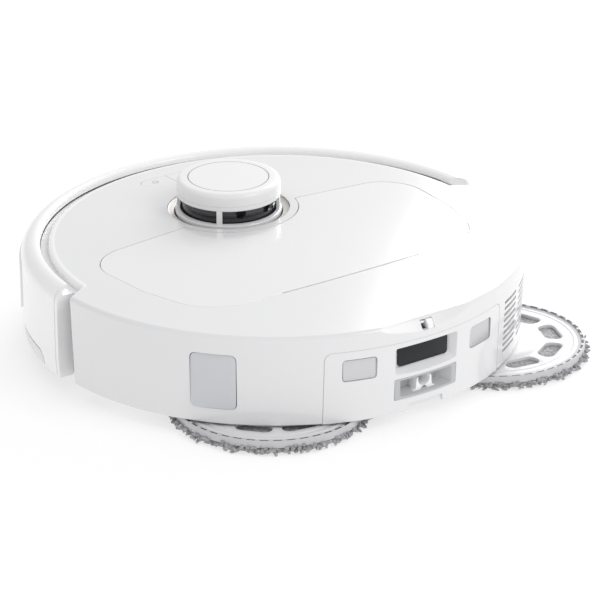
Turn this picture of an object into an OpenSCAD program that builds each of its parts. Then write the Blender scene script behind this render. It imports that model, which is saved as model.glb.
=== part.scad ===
// Robot vacuum and mop. Millimetres, +Z up, origin on the floor under the centre
// of the round body. The bumper faces -Y, the dock face +Y, the robot's left is +X.

/* [Body] */
// Radius of the body wall at deck height
body_r = 174.6; // [160:0.1:190]
// How much the wall draws in towards its bottom edge
wall_draft = 2.2; // [0:0.1:4]
// Thickness of the body wall
wall_t = 2.4; // [1.6:0.1:3.2]
// Height of the wall's bottom edge above the floor
wall_z0 = 10.4; // [8:0.1:12]
// Height of the deck at its edge
deck_edge_z = 75; // [72:0.5:90]
// Rise of the domed deck from edge to centre
deck_rise = 4.6; // [2:0.1:8]
// Thickness of the deck
deck_t = 2.4; // [1.6:0.1:3]
// Radius of the rounded edge between deck and wall
edge_r = 3.2; // [2:0.1:4]
// Radius of the deck's front edge, behind the bumper
deck_front_r = 159.4; // [150:0.1:165]
// Half the angle of the body wall, measured from the rear
wall_half_a = 88.4; // [80:0.1:89]
// Reach of the bevel cut into the rear edge of the deck
scoop_reach = 6; // [3:0.5:9]
// Depth of the rear bevel below the deck's edge
scoop_drop = 9; // [5:0.5:11]

/* [Chassis] */
// Underside of the chassis plate
plate_z = 11.5; // [11:0.1:13]
// Thickness of the chassis plate
plate_t = 3; // [2:0.5:4]
// Outer radius of the wall behind the bumper
front_wall_r = 164; // [155:0.5:168]
// Height of the wall behind the bumper
front_wall_z = 70.6; // [60:0.1:72]
// General gap between pieces that only lie side by side
gap = 0.3; // [0.2:0.05:0.6]
// Radial clearance of a shaft in its bore
run_c = 0.05; // [0.02:0.01:0.1]

/* [Bumper] */
// Outer radius of the bumper
bumper_r = 178.4; // [170:0.1:192]
// Thickness of the bumper shell
bumper_t = 2.4; // [1.6:0.1:3]
// Radius of the bumper's inner rim on top
bumper_rim_r = 164.8; // [160:0.1:170]
// Bottom edge of the bumper
bumper_z0 = 12.5; // [11:0.1:16]
// Top of the bumper
bumper_z1 = 78; // [74:0.5:84]
// Half the angle of the bumper, measured from the front
bumper_half_a = 88.5; // [80:0.1:89]
// Height of the lower trim band
trim_h = 10.5; // [6:0.5:16]
// Half the angle of the lower trim band
trim_half_a = 81; // [60:0.5:84]
// Half the angle of the front sensor cover
cover_half_a = 62; // [40:0.5:75]
// Thickness of the front sensor cover
cover_t = 1.2; // [0.8:0.1:2]
// Travel of the bumper
bumper_travel = 4; // [2:0.5:4]

/* [Lid] */
// Half the width of the lid
lid_half_w = 134; // [120:0.5:140]
// Front edge of the lid
lid_front_y = -42; // [-46:0.5:-36]
// Rear edge of the lid
lid_rear_y = 91; // [88:0.5:100]
// Radius of the lid's rear corners
lid_rear_r = 43; // [30:0.5:50]
// Radius of the lid's front corners
lid_front_r = 30; // [20:0.5:34]
// Thickness of the lid
lid_t = 2.2; // [1.6:0.1:2.4]
// Width of the ledge the lid rests on
ledge_w = 4; // [3:0.5:6]

/* [Turret] */
// Distance of the turret in front of the body's centre
turret_y = -58; // [-62:0.5:-54]
// Radius of the turret's cap
cap_r = 37; // [34:0.1:38]
// Top of the turret
cap_z1 = 102; // [98:0.5:108]
// Underside of the cap, over the laser's slot
slot_z1 = 89.2; // [87:0.1:92]
// Bottom of the laser's slot
slot_z0 = 81.8; // [80:0.1:84]
// Thickness of the turret's shell
cap_t = 2.4; // [1.6:0.1:3]
// Width of each post across the slot
post_w = 4; // [3:0.1:6]
// Radius of the well round the turret
turret_well_r = 43.7; // [42:0.1:46]
// Radius of the arc where the lid gives way to the turret
lid_arc_r = 50; // [48:0.5:54]
// Radius of the spinning sensor head
head_r = 33; // [30:0.1:33]
// How far the turret can be pressed down
turret_travel = 1.5; // [0.5:0.1:1.5]

/* [Mops] */
// Distance of each mop from the body's centre line, drawn in
mop_x = 77.6; // [74:0.1:80]
// Distance of each mop behind the body's centre, drawn in
mop_y = 101.9; // [98:0.1:106]
// Radius of the motor over each mop
motor_r = 13.5; // [10:0.1:14]
// Radius of the mop pad with its fringe
pad_r = 70; // [60:0.5:73]
// Height of the mop pad
pad_h = 4.5; // [3:0.1:5]
// Radius of the mop plate's raised ring
mop_ring_r = 65.6; // [58:0.1:68]
// Radius of the mop plate's web
mop_web_r = 60; // [52:0.1:61]
// Top of the mop plate's ring
mop_ring_z = 9.8; // [9:0.1:10]
// Length of the swinging arm from its pivot to the mop
arm_l = 57; // [54:0.5:58]
// Angle the arm swings between out and drawn in
arm_swing = 30; // [20:1:30]
// Openings round each mop plate
mop_slots = 9; // [6:1:12]

/* [Running gear] */
// Radius of a drive wheel
wheel_r = 35; // [30:0.5:36]
// Width of a drive wheel
wheel_w = 24; // [18:0.5:26]
// Distance of each drive wheel from the centre line
wheel_x = 115; // [112:0.5:118]
// Place of the drive wheels along the body
wheel_y = -8; // [-12:0.5:-6]
// Radius of the caster wheel
caster_r = 11; // [9:0.5:12]
// Place of the caster along the body
caster_y = -138; // [-140:0.5:-134]
// Distance of the caster's axle behind its stem
caster_trail = 4; // [2:0.5:4]
// Radius of the main brush over its fins
brush_r = 20.5; // [18:0.5:21]
// Length of the main brush
brush_l = 160; // [140:1:164]
// Place of the main brush along the body
brush_y = -62; // [-64:0.5:-60]
// Height of the main brush's axis
brush_z = 25; // [24:0.5:26]
// Reach of a side brush arm
side_arm_l = 58; // [45:0.5:60]

/* [Dock face] */
// Half the width of the rear panel
panel_half_w = 73.7; // [66:0.1:76]
// Top of the rear panel
panel_z1 = 62; // [60:0.5:64]
// Inner edge of a charging contact, from the centre line
contact_x0 = 39; // [36:0.5:44]
// Outer edge of a charging contact
contact_x1 = 62.5; // [56:0.5:64]
// Bottom of a charging contact
contact_z0 = 40; // [38:0.5:44]
// Top of a charging contact
contact_z1 = 56; // [50:0.5:58]
// Half the width of the dock sensor's pocket
pocket_half_w = 27.9; // [24:0.1:30]
// Depth of the dock sensor's pocket
pocket_d = 8; // [5:0.5:8]
// Half the width of the filling port
port_half_w = 25.8; // [20:0.1:28]
// Bottom of the filling port
port_z0 = 20.3; // [19:0.1:22]
// Top of the filling port
port_z1 = 35.3; // [33:0.1:36]
// Half the width of the notch in the panel's bottom edge
notch_half_w = 14.3; // [10:0.1:18]

/* [Side openings] */
// Angle of the side window's middle, from the rear
window_a = 49.5; // [44:0.5:56]
// Width of the side window
window_w = 32; // [24:0.5:36]
// Bottom of the side window
window_z0 = 21.5; // [18:0.5:26]
// Top of the side window
window_z1 = 61.5; // [54:0.5:64]
// Rows of exhaust slots
vent_rows = 9; // [5:1:10]
// Height of an exhaust slot
vent_h = 1.6; // [1:0.1:2.2]

/* [Hidden] */
$fn = 96;
e = 0.01;                                  // overlap that joins touching solids

// the domed deck is part of one large sphere
dome_r = (body_r * body_r + deck_rise * deck_rise) / (2 * deck_rise);
deck_top = deck_edge_z + deck_rise;
function dome_z(r) = deck_top - dome_r + sqrt(dome_r * dome_r - r * r);
function polar(r, a) = [r * sin(a), r * cos(a)];          // angle from the rear, towards +X
function arc(c, r, a0, a1, n) = [for (i = [0 : n]) c + polar(r, a0 + (a1 - a0) * i / n)];
wall_bot_r = body_r - wall_draft;
plate_top = plate_z + plate_t;
inner_r = wall_bot_r - wall_t - gap;

// mop places: the left one is fixed, the right one is drawn at the arm's end, swung out
swing_half = arm_swing / 2;
arm_mid_a = 16.9;                          // heading of the arm halfway through its swing
arm_pivot = [-mop_x, mop_y] - arm_l * [sin(arm_mid_a + swing_half), cos(arm_mid_a + swing_half)];
mop_right = arm_pivot + arm_l * [sin(arm_mid_a - swing_half), cos(arm_mid_a - swing_half)];
mop_left = [mop_x, mop_y];

// the wheel arm turns about a pin behind the wheel
arm_pin_y = 26;
arm_pin_z = 40;
arm_pin_r = 3;
arm_t = 8;
well_x0 = wheel_x - wheel_w / 2 - arm_t - 4;
well_x1 = wheel_x + wheel_w / 2 + 4;
well_y0 = wheel_y - wheel_r - 3;
well_y1 = wheel_y + wheel_r + 13;

// brush tunnel
tunnel_half_l = brush_l / 2 + 5;
tunnel_half_w = brush_r + 2.5;
tunnel_z1 = brush_z + brush_r + 4.5;

// turret
belt_motor = [52, turret_y - 26];
belt_z = 62.5;
belt_w = 4;
pulley_r = 5;
belt_t = 1;
base_r = turret_well_r + 2.3;

lid_bow = 1900;                            // the lid's rear edge bows by x * x / lid_bow

// tab of the clip that shows in the rear bevel
scoop_half_a = 22;
clip_w = 9;
clip_t = 1.8;
clip_z = deck_edge_z - 4.4;

// screws
screw_spots = [[137, 72], [-137, 72], [150, -20], [-150, -20], [60, -142], [-60, -142]];
screw_r = 1.5;
boss_r = 4;
side_brush_at = [-98, -108];
speaker_at = [88, -110];
speaker_r = 15;
cliff_spots = [[46, -146], [-46, -146], [148, -48], [-148, -48]];

// bin between the wheel wells, under the lid
bin_x0 = -24;
bin_x1 = well_x0 - 3;
bin_y0 = 3;
bin_y1 = 74;
bin_z0 = 22;
bin_z1 = 62;
bin_wall = 1.8;
fan_y = 36;
fan_z = 42;
fan_r = 25;

// rounded rectangle from exact circles and squares
module rrect(w, h, r) {
  union() {
    square([w - 2 * r, h], center = true);
    square([w, h - 2 * r], center = true);
    for (sx = [-1, 1], sy = [-1, 1]) translate([sx * (w / 2 - r), sy * (h / 2 - r)]) circle(r);
  }
}

// prism through the wall at an angle from the rear: w wide, from z0 to z1
module wall_prism(a, w, z0, z1, r, r0, r1) {
  rotate([0, 0, -a]) translate([0, r1, (z0 + z1) / 2]) rotate([90, 0, 0])
    linear_extrude(r1 - r0) rrect(w, z1 - z0, r);
}

// ring sector between two angles from the rear, as a turned profile
module sector(a0, a1) {
  rotate([0, 0, 90 - a1]) rotate_extrude(angle = a1 - a0, $fn = 180) children();
}

// box by its corners
module block(a, b) {
  translate(a) cube(b - a);
}

// tube standing on z0
module tube(r1, r0, z0, z1) {
  translate([0, 0, z0]) difference() {
    cylinder(h = z1 - z0, r = r1);
    translate([0, 0, -1]) cylinder(h = z1 - z0 + 2, r = r0);
  }
}

// solid of everything below the domed surface lowered by d
module under_dome(d) {
  translate([0, 0, deck_top - dome_r - d]) sphere(dome_r, $fn = 360);
}

// ---------------------------------------------------------------- plan outlines

// deck outline: wide over the body wall, narrower behind the bumper
module deck_plan() {
  circle(deck_front_r, $fn = 180);
  polygon(concat(
    arc([0, 0], body_r + 5, -86, 86, 48),
    [[deck_front_r + 1.6, -1.2], [deck_front_r - 20, -1.2]],
    [[20 - deck_front_r, -1.2], [-deck_front_r - 1.6, -1.2]]
  ));
}

// lid outline, grown by d all round: one half, from the rear's middle to the front
function lid_half(d) = concat(
  [for (x = [0 : 20 : lid_half_w - lid_rear_r - 12]) [x, lid_rear_y + d - x * x / lid_bow]],
  arc([lid_half_w - lid_rear_r - 9, lid_rear_y - lid_rear_r - 3.5], lid_rear_r + d, 4, 77, 12),
  [[lid_half_w - 3 + d, lid_rear_y / 3]],
  arc([lid_half_w - lid_front_r, lid_front_y + lid_front_r + 2], lid_front_r + d, 88, 186, 12),
  [[lid_half_w / 2, lid_front_y - 1.5 - d]]
);
function mirrored(pts) = [for (i = [len(pts) - 1 : -1 : 1]) [-pts[i][0], pts[i][1]]];
module lid_plan(d = 0) {
  difference() {
    polygon(concat(lid_half(d), mirrored(lid_half(d))));
    translate([0, turret_y]) circle(lid_arc_r - d);
  }
}

// ---------------------------------------------------------------- shells

// outer profile of wall and deck, from the wall's bottom to the deck's centre
module shell_profile(inset, z0) {
  r_top = body_r - inset;
  r_bot = wall_bot_r - inset;
  er = max(edge_r - inset, 0.6);
  ez = deck_edge_z - inset;
  polygon(concat(
    [[0, z0], [r_bot, z0]],
    [[r_top, ez - er]],
    [for (i = [1 : 8]) [r_top - er + er * cos(i * 85 / 8), ez - er + er * sin(i * 85 / 8)]],
    [for (r = [r_top - er - 2 : -14 : 20]) [r, dome_z(r) - inset]],
    [[0, dome_z(0) - inset]]
  ));
}

module scoop_cut() {
  translate([0, body_r + 0.5, deck_edge_z - scoop_drop]) rotate([-atan2(scoop_drop, scoop_reach), 0, 0])
    block([-60, -30, 0], [60, 30, 30]);
}

// layer between two surfaces parallel to the deck, d0 and d1 below it
module dome_layer(d0, d1) {
  difference() {
    under_dome(d0);
    under_dome(d1);
  }
}

// ledge the lid rests on, hung from the deck round the opening
module lid_ledge() {
  intersection() {
    dome_layer(lid_t + gap, lid_t + gap + 2);
    linear_extrude(120) difference() {
      lid_plan(3);
      lid_plan(-ledge_w);
    }
  }
  intersection() {
    dome_layer(1.2, lid_t + gap + 1);
    linear_extrude(120) difference() {
      lid_plan(3);
      lid_plan(0.4);
    }
  }
}

module vent_slots() {
  pitch = 41 / vent_rows;
  for (i = [0 : vent_rows - 1], a = [-32, -42])
    wall_prism(a, 24, 20 + i * pitch, 20 + i * pitch + vent_h, 0.7, body_r - 12, body_r + 5);
}

module top_shell() {
  color("white") difference() {
    union() {
      difference() {
        rotate_extrude($fn = 180) shell_profile(0, wall_z0);
        rotate_extrude($fn = 180) shell_profile(wall_t, wall_z0 - 1);
        // front: the wall ends, only the deck goes on
        translate([0, 0, -1]) linear_extrude(front_wall_z + 1) polygon(concat([[0, 0]],
          arc([0, 0], body_r + 9, wall_half_a, 360 - wall_half_a, 48)));
        translate([0, 0, front_wall_z - 0.5]) linear_extrude(40) difference() {
          circle(body_r + 20);
          deck_plan();
        }
        translate([0, 0, 60]) linear_extrude(40) lid_plan(0.4);
      }
      // skirt under the deck's front edge
      sector(92, 268) translate([deck_front_r - deck_t, front_wall_z + gap])
        square([deck_t - gap, dome_z(deck_front_r) - front_wall_z - 1]);
      // closed ends of the body wall
      for (s = [-1, 1])
        sector(s > 0 ? wall_half_a - 1.2 : -wall_half_a, s > 0 ? wall_half_a : 1.2 - wall_half_a)
        polygon([[front_wall_r + gap, wall_z0 + 1], [wall_bot_r - wall_t / 2, wall_z0 + 1],
          [body_r - wall_t / 2, front_wall_z], [front_wall_r + gap, front_wall_z]]);
      // thicker corner behind the rear bevel
      sector(-scoop_half_a, scoop_half_a) translate([body_r - wall_t - 3.2, deck_edge_z - scoop_drop + 2])
        square([4.5, scoop_drop - 3]);
      lid_ledge();
      for (p = screw_spots) translate([p[0], p[1], plate_top + gap])
        cylinder(h = dome_z(norm(p)) - plate_top - 1.5, r = boss_r);
    }
    translate([0, turret_y, 60]) cylinder(h = 40, r = turret_well_r);
    scoop_cut();
    block([-clip_w / 2 - gap, body_r - 9, clip_z - gap],
      [clip_w / 2 + gap, body_r + 1, clip_z + clip_t + gap]);
    translate([0, 0, 60]) linear_extrude(40) button_plan(0.15);
    // opening for the rear panel
    wall_prism(0, 2 * (panel_half_w + gap), -20, panel_z1 + gap, 5.5, body_r - 16, body_r + 5);
    wall_prism(window_a, window_w, window_z0, window_z1, 4, body_r - 12, body_r + 5);
    vent_slots();
    for (p = screw_spots) translate([p[0], p[1], 0]) cylinder(h = plate_top + 14, r = screw_r + run_c);
  }
}

module lid() {
  color("white") difference() {
    intersection() {
      difference() {
        under_dome(0);
        under_dome(lid_t);
      }
      translate([0, 0, 60]) linear_extrude(40) lid_plan(0);
    }
    // finger groove along the rear edge
    translate([-60, lid_rear_y - 1.1, 60]) cube([120, 10, 40]);
  }
}

module rear_ring(inset = 0, depth = wall_t) {
  difference() {
    rotate_extrude($fn = 180) shell_profile(inset, wall_z0);
    rotate_extrude($fn = 180) shell_profile(depth + inset, wall_z0 - 1);
  }
}

module frustum(w0, h0, w1, h1, d) {
  // opening w0 x h0 at the face, w1 x h1 at depth d
  hull() {
    translate([-w0 / 2, 0, -h0 / 2]) cube([w0, e, h0]);
    translate([-w1 / 2, -d, -h1 / 2]) cube([w1, e, h1]);
  }
}

pocket_z = 48;
port_z = (port_z0 + port_z1) / 2;
pocket_y = body_r - pocket_d;

module rear_panel() {
  color("white") difference() {
    union() {
      intersection() {
        rear_ring();
        wall_prism(0, 2 * panel_half_w, wall_z0 - 20, panel_z1, 5.2, body_r - 16, body_r + 5);
      }
      // tray round the dock sensor's pocket
      translate([-pocket_half_w - 1.5, pocket_y - 1.6, 35.6])
        cube([2 * pocket_half_w + 3, pocket_d - 3, 24.8]);
    }
    translate([0, body_r, pocket_z]) frustum(2 * pocket_half_w, 22, 2 * pocket_half_w - 8, 17, pocket_d);
    translate([-22, pocket_y - 3, 41.5]) cube([44, 5, 15]);
    wall_prism(0, 2 * port_half_w, port_z0, port_z1, 1, body_r - 16, body_r + 5);
    translate([-notch_half_w, body_r - 10, 0]) cube([2 * notch_half_w, 20, 15.5]);
    for (s = [-1, 1]) rotate([0, 0, 0]) translate([s * (contact_x0 + contact_x1) / 2, body_r + 5, 48])
      rotate([90, 0, 0]) linear_extrude(30) rrect(contact_x1 - contact_x0, contact_z1 - contact_z0, 2.5);
  }
  // small rib in the bottom notch
  color("white") translate([-notch_half_w - 1, body_r - 4.5, 12]) cube([2 * notch_half_w + 2, 1.4, 3.6]);
}

module contact(s) {
  color("lightgrey") intersection() {
    rear_ring(0.6, 1.4);
    translate([s * (contact_x0 + contact_x1) / 2, body_r + 5, 48]) rotate([90, 0, 0])
      linear_extrude(30) rrect(contact_x1 - contact_x0 - gap, contact_z1 - contact_z0 - gap, 2.4);
  }
}

module dock_sensor_window() {
  color("#2a2b2e") translate([-21.8, pocket_y - 1.6, 41.7]) cube([43.6, 1.4, 14.6]);
}

module filler_port() {
  w = 2 * port_half_w - 2 * gap;
  h = port_z1 - port_z0 - 2 * gap;
  yf = sqrt(pow(body_r - 1.6, 2) - pow(port_half_w, 2)) - 0.6;
  depth = 11;
  color("gainsboro") difference() {
    translate([-w / 2, yf - depth, port_z - h / 2]) cube([w, depth, h]);
    translate([0, yf, port_z]) frustum(w - 1.6, h - 1.6, w - 22, h - 6, depth - 1.6);
  }
  // half-round spout in the middle of the port, over an arched slot
  color("white") translate([0, yf - depth + 1, port_z + 1.5]) difference() {
    union() {
      rotate([-90, 0, 0]) cylinder(h = depth - 2.5, r = 6.2);
      translate([-6.2, 0, -5.6]) cube([12.4, depth - 2.5, 5.6]);
    }
    translate([0, 2, 0.8]) rotate([-90, 0, 0]) cylinder(h = depth, r = 5);
    translate([0, 2, -8]) rotate([-90, 0, 0]) cylinder(h = depth, r = 3.2);
    translate([-8, -1, 5]) cube([16, depth, 4]);
  }
}

module side_window() {
  color("#c6c8cc") intersection() {
    rear_ring(0.2, 1.8);
    wall_prism(window_a, window_w - gap, window_z0 + gap / 2, window_z1 - gap / 2,
      3.9, body_r - 12, body_r + 5);
  }
}

module exhaust_mesh() {
  color("#8d8f92") sector(-48, -26) translate([inner_r - 1.9, 18]) square([1.4, 44.5]);
}

module exhaust_duct() {
  color("#d8d9db") difference() {
    intersection() {
      translate([0, 0, 43]) linear_extrude(18)
        polygon([[-40, fan_y + fan_r + 1], [-57, fan_y + fan_r + 1], [-122, 112], [-125, 160], [-78, 160]]);
      cylinder(h = 80, r = inner_r - 2.4);
    }
    translate([0, 0, 44.5]) linear_extrude(15)
      polygon([[-42, fan_y + fan_r - 5], [-55, fan_y + fan_r - 5], [-119, 113], [-140, 190], [-78, 190]]);
  }
}

module rear_clip() {
  color("white") translate([-clip_w / 2, body_r - 11.1, 0]) union() {
    translate([0, 0, panel_z1 - 1.5]) cube([clip_w, 1.6, clip_z + clip_t - panel_z1 + 1.5]);
    translate([0, 0, clip_z]) cube([clip_w, 8, clip_t]);
  }
}

// ---------------------------------------------------------------- chassis

module well(s) {
  block([s > 0 ? well_x0 : -well_x1, well_y0, 0], [s > 0 ? well_x1 : -well_x0, well_y1, 90]);
}

module chassis_walls() {
  // wheel wells
  for (s = [-1, 1]) difference() {
    block([s > 0 ? well_x0 - 2 : -well_x1 - 2, well_y0 - 2, plate_z],
      [s > 0 ? well_x1 + 2 : 2 - well_x0, well_y1 + 2, 71]);
    well(s);
  }
  // brush tunnel
  difference() {
    block([-tunnel_half_l - 2, brush_y - tunnel_half_w - 2, plate_z],
      [tunnel_half_l + 2, brush_y + tunnel_half_w + 2, tunnel_z1]);
    block([-tunnel_half_l, brush_y - tunnel_half_w, 0],
      [tunnel_half_l, brush_y + tunnel_half_w, tunnel_z1 - 2]);
  }
  // dirt duct from the brush to the bin
  difference() {
    block([-28, brush_y + tunnel_half_w + 1, 28], [28, bin_y0 - 0.5, 46]);
    block([-26, brush_y, 30], [26, bin_y0 + 1, 44]);
  }
  // caster socket
  translate([0, caster_y, plate_z]) cylinder(h = 24.5, r = 21);
}

module lower_chassis() {
  color("#d2d3d5") difference() {
    union() {
      difference() {
        translate([0, 0, plate_z]) linear_extrude(plate_t) union() {
          intersection() {
            circle(inner_r);
            polygon(concat([[0, 0]], arc([0, 0], 400, -80, 80, 16)));
          }
          circle(front_wall_r);
        }
      }
      // wall behind the bumper
      sector(wall_half_a + 0.4, 360 - wall_half_a - 0.4) translate([front_wall_r - 2.4, plate_z])
        square([2.4, front_wall_z - plate_z]);
      chassis_walls();
      // bridge that carries the mop arm's pin
      difference() {
        union() {
          translate([arm_pivot[0], arm_pivot[1], 30]) cylinder(h = 4, r = 11);
          block([arm_pivot[0] - 11, well_y1 + 1, 30], [arm_pivot[0] + 11, arm_pivot[1], 34]);
        }
        translate([arm_pivot[0], arm_pivot[1], 20]) cylinder(h = 20, r = 4 + run_c);
      }
    }
    // wheels
    for (s = [-1, 1]) well(s);
    for (s = [-1, 1]) translate([s * (well_x0 - 3), arm_pin_y, arm_pin_z]) rotate([0, s * 90, 0])
      cylinder(h = 6, r = arm_pin_r + run_c);
    // brush mouth, and the passage into the bin
    block([-tunnel_half_l, brush_y - tunnel_half_w, 0],
      [tunnel_half_l, brush_y + tunnel_half_w, tunnel_z1 - 2]);
    block([-26, brush_y, 30], [26, bin_y0 + 1, 44]);
    // bearing and gearbox at the brush's ends
    translate([-tunnel_half_l - 3, brush_y, brush_z]) rotate([0, 90, 0]) cylinder(h = 6, r = 3 + run_c);
    translate([tunnel_half_l - 1, brush_y, brush_z]) rotate([0, 90, 0]) cylinder(h = 6, r = 6);
    // caster
    translate([0, caster_y, 0]) cylinder(h = 28.6, r = 19);
    translate([0, caster_y, 20]) cylinder(h = 20, r = 5 + run_c);
    // side brush shaft, mop spindle, screws, speaker, cliff sensors
    translate([side_brush_at[0], side_brush_at[1], 0]) cylinder(h = 20, r = 4);
    translate([mop_left[0], mop_left[1], 0]) cylinder(h = 20, r = 9);
    for (p = screw_spots) translate([p[0], p[1], 0]) {
      cylinder(h = 20, r = screw_r + run_c);
      cylinder(h = plate_z + 1.6, r = 3.1);
    }
    for (p = cliff_spots) translate([p[0], p[1], plate_z + 0.5]) cube([12.3, 6.3, 3], center = true);
    for (i = [-1 : 1]) translate([speaker_at[0] + 6 * i, speaker_at[1], plate_z + 1])
      cube([2, 14, 6], center = true);
    // room for the swinging mop arm
    translate([0, 0, 5]) linear_extrude(plate_top - 4.9) hull() {
      translate(arm_pivot) circle(14, $fn = 32);
      translate(mop_right) circle(24, $fn = 32);
      translate([-mop_x, mop_y]) circle(24, $fn = 32);
    }
  }
}

module chassis_screws() {
  color("silver") for (p = screw_spots) translate([p[0], p[1], plate_z + 0.1]) difference() {
    union() {
      cylinder(h = 1.4, r = 3);
      cylinder(h = 14, r = screw_r);
    }
    cylinder(h = 2, r = 0.9, center = true);
  }
}

module cliff_windows() {
  color("#26272a") for (p = cliff_spots) translate([p[0], p[1], plate_z + 1.2])
    cube([12, 6, 1.5], center = true);
}

module speaker() {
  color("#3a3b3d") translate([speaker_at[0], speaker_at[1], plate_top]) union() {
    cylinder(h = 5, r = speaker_r);
    translate([0, 0, 4]) cylinder(h = 7, r = 8);
  }
}

// ---------------------------------------------------------------- bumper

module bumper_profile(inset) {
  r1 = bumper_r - inset;
  rt = 11 - inset;
  z1 = bumper_z1 - inset;
  polygon(concat(
    [[r1 - 1, bumper_z0], [r1, bumper_z0 + 12]],
    [[r1, z1 - rt]],
    [for (i = [1 : 10]) [r1 - rt + rt * cos(i * 9), z1 - rt + rt * sin(i * 9)]],
    inset > 0 ? [[bumper_rim_r - 6, z1], [bumper_rim_r - 6, bumper_z0]]
              : [[bumper_rim_r + 1.4, z1 - 0.5], [bumper_rim_r + 0.3, z1 - 1.8], [bumper_rim_r, z1 - 5.4],
                 [bumper_rim_r, bumper_z0]]
  ));
}

module bumper_shell() {
  difference() {
    sector(180 - bumper_half_a, 180 + bumper_half_a) bumper_profile(0);
    sector(181.4 - bumper_half_a, 178.6 + bumper_half_a) difference() {
      bumper_profile(bumper_t);
      square([bumper_rim_r + 1.8, 200]);
    }
    // open underside, open inner face below the rim
    difference() {
      translate([0, 0, -1]) cylinder(h = bumper_z1 - 4.4, r = bumper_r - bumper_t - 1);
      // closed ends
      for (s = [-1, 1]) sector(180 + (s > 0 ? bumper_half_a - 1 : -bumper_half_a),
                               180 + (s > 0 ? bumper_half_a : 1 - bumper_half_a))
        translate([bumper_rim_r + 3, 0]) square([20, 200]);
    }
  }
}

module trim_zone(d = 0) {
  sector(180 - trim_half_a + d, 180 + trim_half_a - d) translate([bumper_r - bumper_t - 3, 0])
    square([10, bumper_z0 + trim_h - d * 2]);
}

module bumper() {
  color("white") difference() {
    bumper_shell();
    trim_zone();
  }
}

module bumper_trim() {
  color("#f1f2f4") intersection() {
    bumper_shell();
    trim_zone(0.1);
  }
}

module front_sensor_cover() {
  color("white") sector(180 - cover_half_a, 180 + cover_half_a) translate([bumper_r + e, 30])
    polygon([[0, 0], [cover_t, 1], [cover_t, 35], [0, 36]]);
}

module bumper_springs() {
  // compression springs between the chassis wall and the bumper
  for (s = [-1, 1]) color("silver") rotate([0, 0, s * 24]) translate([0, -front_wall_r - 0.2, 44])
    rotate([90, 0, 0]) tube(4, 3, 0, bumper_r - bumper_t - front_wall_r - 1.6);
}

// ---------------------------------------------------------------- turret

module lidar_base() {
  color("#c9c5c0") translate([0, turret_y, 0]) difference() {
    union() {
      translate([0, 0, 57]) cylinder(h = 2.4, r = base_r);
      tube(base_r, base_r - 2.4, 57, 74.2);
      tube(base_r - 1, cap_r + 2, 71.4, 74.2);
      translate([0, 0, 58]) cylinder(h = 8, r = 6);
    }
    // the belt runs out through the wall
    rotate([0, 0, atan2(-26, 52)]) translate([30, -26, belt_z - 1.5]) cube([30, 52, belt_w + 3]);
  }
}

module lidar_head() {
  color("#202124") translate([0, turret_y, 0]) difference() {
    union() {
      translate([0, 0, 67.2]) cylinder(h = 29.6, r = head_r);
      translate([0, 0, 61.5]) cylinder(h = 6, r = head_r - 4);
    }
    translate([0, 0, 60]) cylinder(h = 7, r = 6 + run_c);
    // laser and camera ports
    for (x = [-11, 11]) translate([x, 0, 86]) rotate([-90, 0, 0]) cylinder(h = 60, r = 4);
    translate([0, 0, 72]) difference() {
      cylinder(h = 4, r = 60);
      translate([0, 0, -1]) cylinder(h = 6, r = head_r - 1.2);
    }
  }
}

module turret_cap() {
  color("white") translate([0, turret_y, 0]) difference() {
    union() {
      translate([0, 0, slot_z0 - 12]) cylinder(h = cap_z1 - 3 - slot_z0 + 12, r = cap_r);
      translate([0, 0, cap_z1 - 3]) rotate_extrude()
        polygon(concat([[0, 0]], [for (i = [0 : 9]) [cap_r - 3 + 3 * cos(i * 10), 3 * sin(i * 10)]], [[0, 3]]));
      tube(cap_r + 1, cap_r - 1, slot_z0 - 4, slot_z0 - 0.2);
    }
    translate([0, 0, 20]) cylinder(h = cap_z1 - 2.4 - 20, r = cap_r - cap_t);
    // laser slot between four posts
    difference() {
      translate([0, 0, slot_z0]) cylinder(h = slot_z1 - slot_z0, r = cap_r + 5);
      for (a = [45, 135]) rotate([0, 0, a]) translate([0, 0, slot_z0 + 3]) cube([90, post_w, 20], center = true);
    }
    // fine ring on top
    translate([0, 0, cap_z1 - 0.3]) difference() {
      cylinder(h = 1, r = 29);
      translate([0, 0, -1]) cylinder(h = 3, r = 28.6);
    }
  }
}

module lidar_motor() {
  color("#8b8d90") translate([belt_motor[0], belt_motor[1], tunnel_z1 + 1]) union() {
    cylinder(h = 9, r = 11);
    cylinder(h = 15, r = 1.5);
  }
}

module lidar_pulley() {
  color("gainsboro") translate([belt_motor[0], belt_motor[1], belt_z - 0.5]) difference() {
    cylinder(h = belt_w + 1, r = pulley_r);
    translate([0, 0, -1]) cylinder(h = belt_w + 3, r = 1.5 + run_c);
  }
}

module lidar_belt() {
  r0 = head_r - 4 + 0.1;
  color("#303133") translate([0, 0, belt_z]) linear_extrude(belt_w) difference() {
    hull() {
      translate([0, turret_y]) circle(r0 + belt_t, $fn = 72);
      translate(belt_motor) circle(pulley_r + 0.1 + belt_t, $fn = 32);
    }
    hull() {
      translate([0, turret_y]) circle(r0, $fn = 72);
      translate(belt_motor) circle(pulley_r + 0.1, $fn = 32);
    }
  }
}

// ---------------------------------------------------------------- buttons

button_y = -132;
button_w = 24;
button_h = 15;
module button_plan(d = 0) {
  translate([0, button_y]) rrect(2 * button_w + 0.3 + 2 * d, button_h + 2 * d, button_h / 2 - 0.5 + d);
}

module button(s) {
  color("white") intersection() {
    difference() {
      under_dome(0);
      under_dome(4.5);
    }
    translate([0, 0, 60]) linear_extrude(40) intersection() {
      button_plan(0);
      translate([s > 0 ? 0.15 : -40, -200]) square([39.85, 200]);
    }
  }
}

// ---------------------------------------------------------------- bin, tank, electronics

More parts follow.
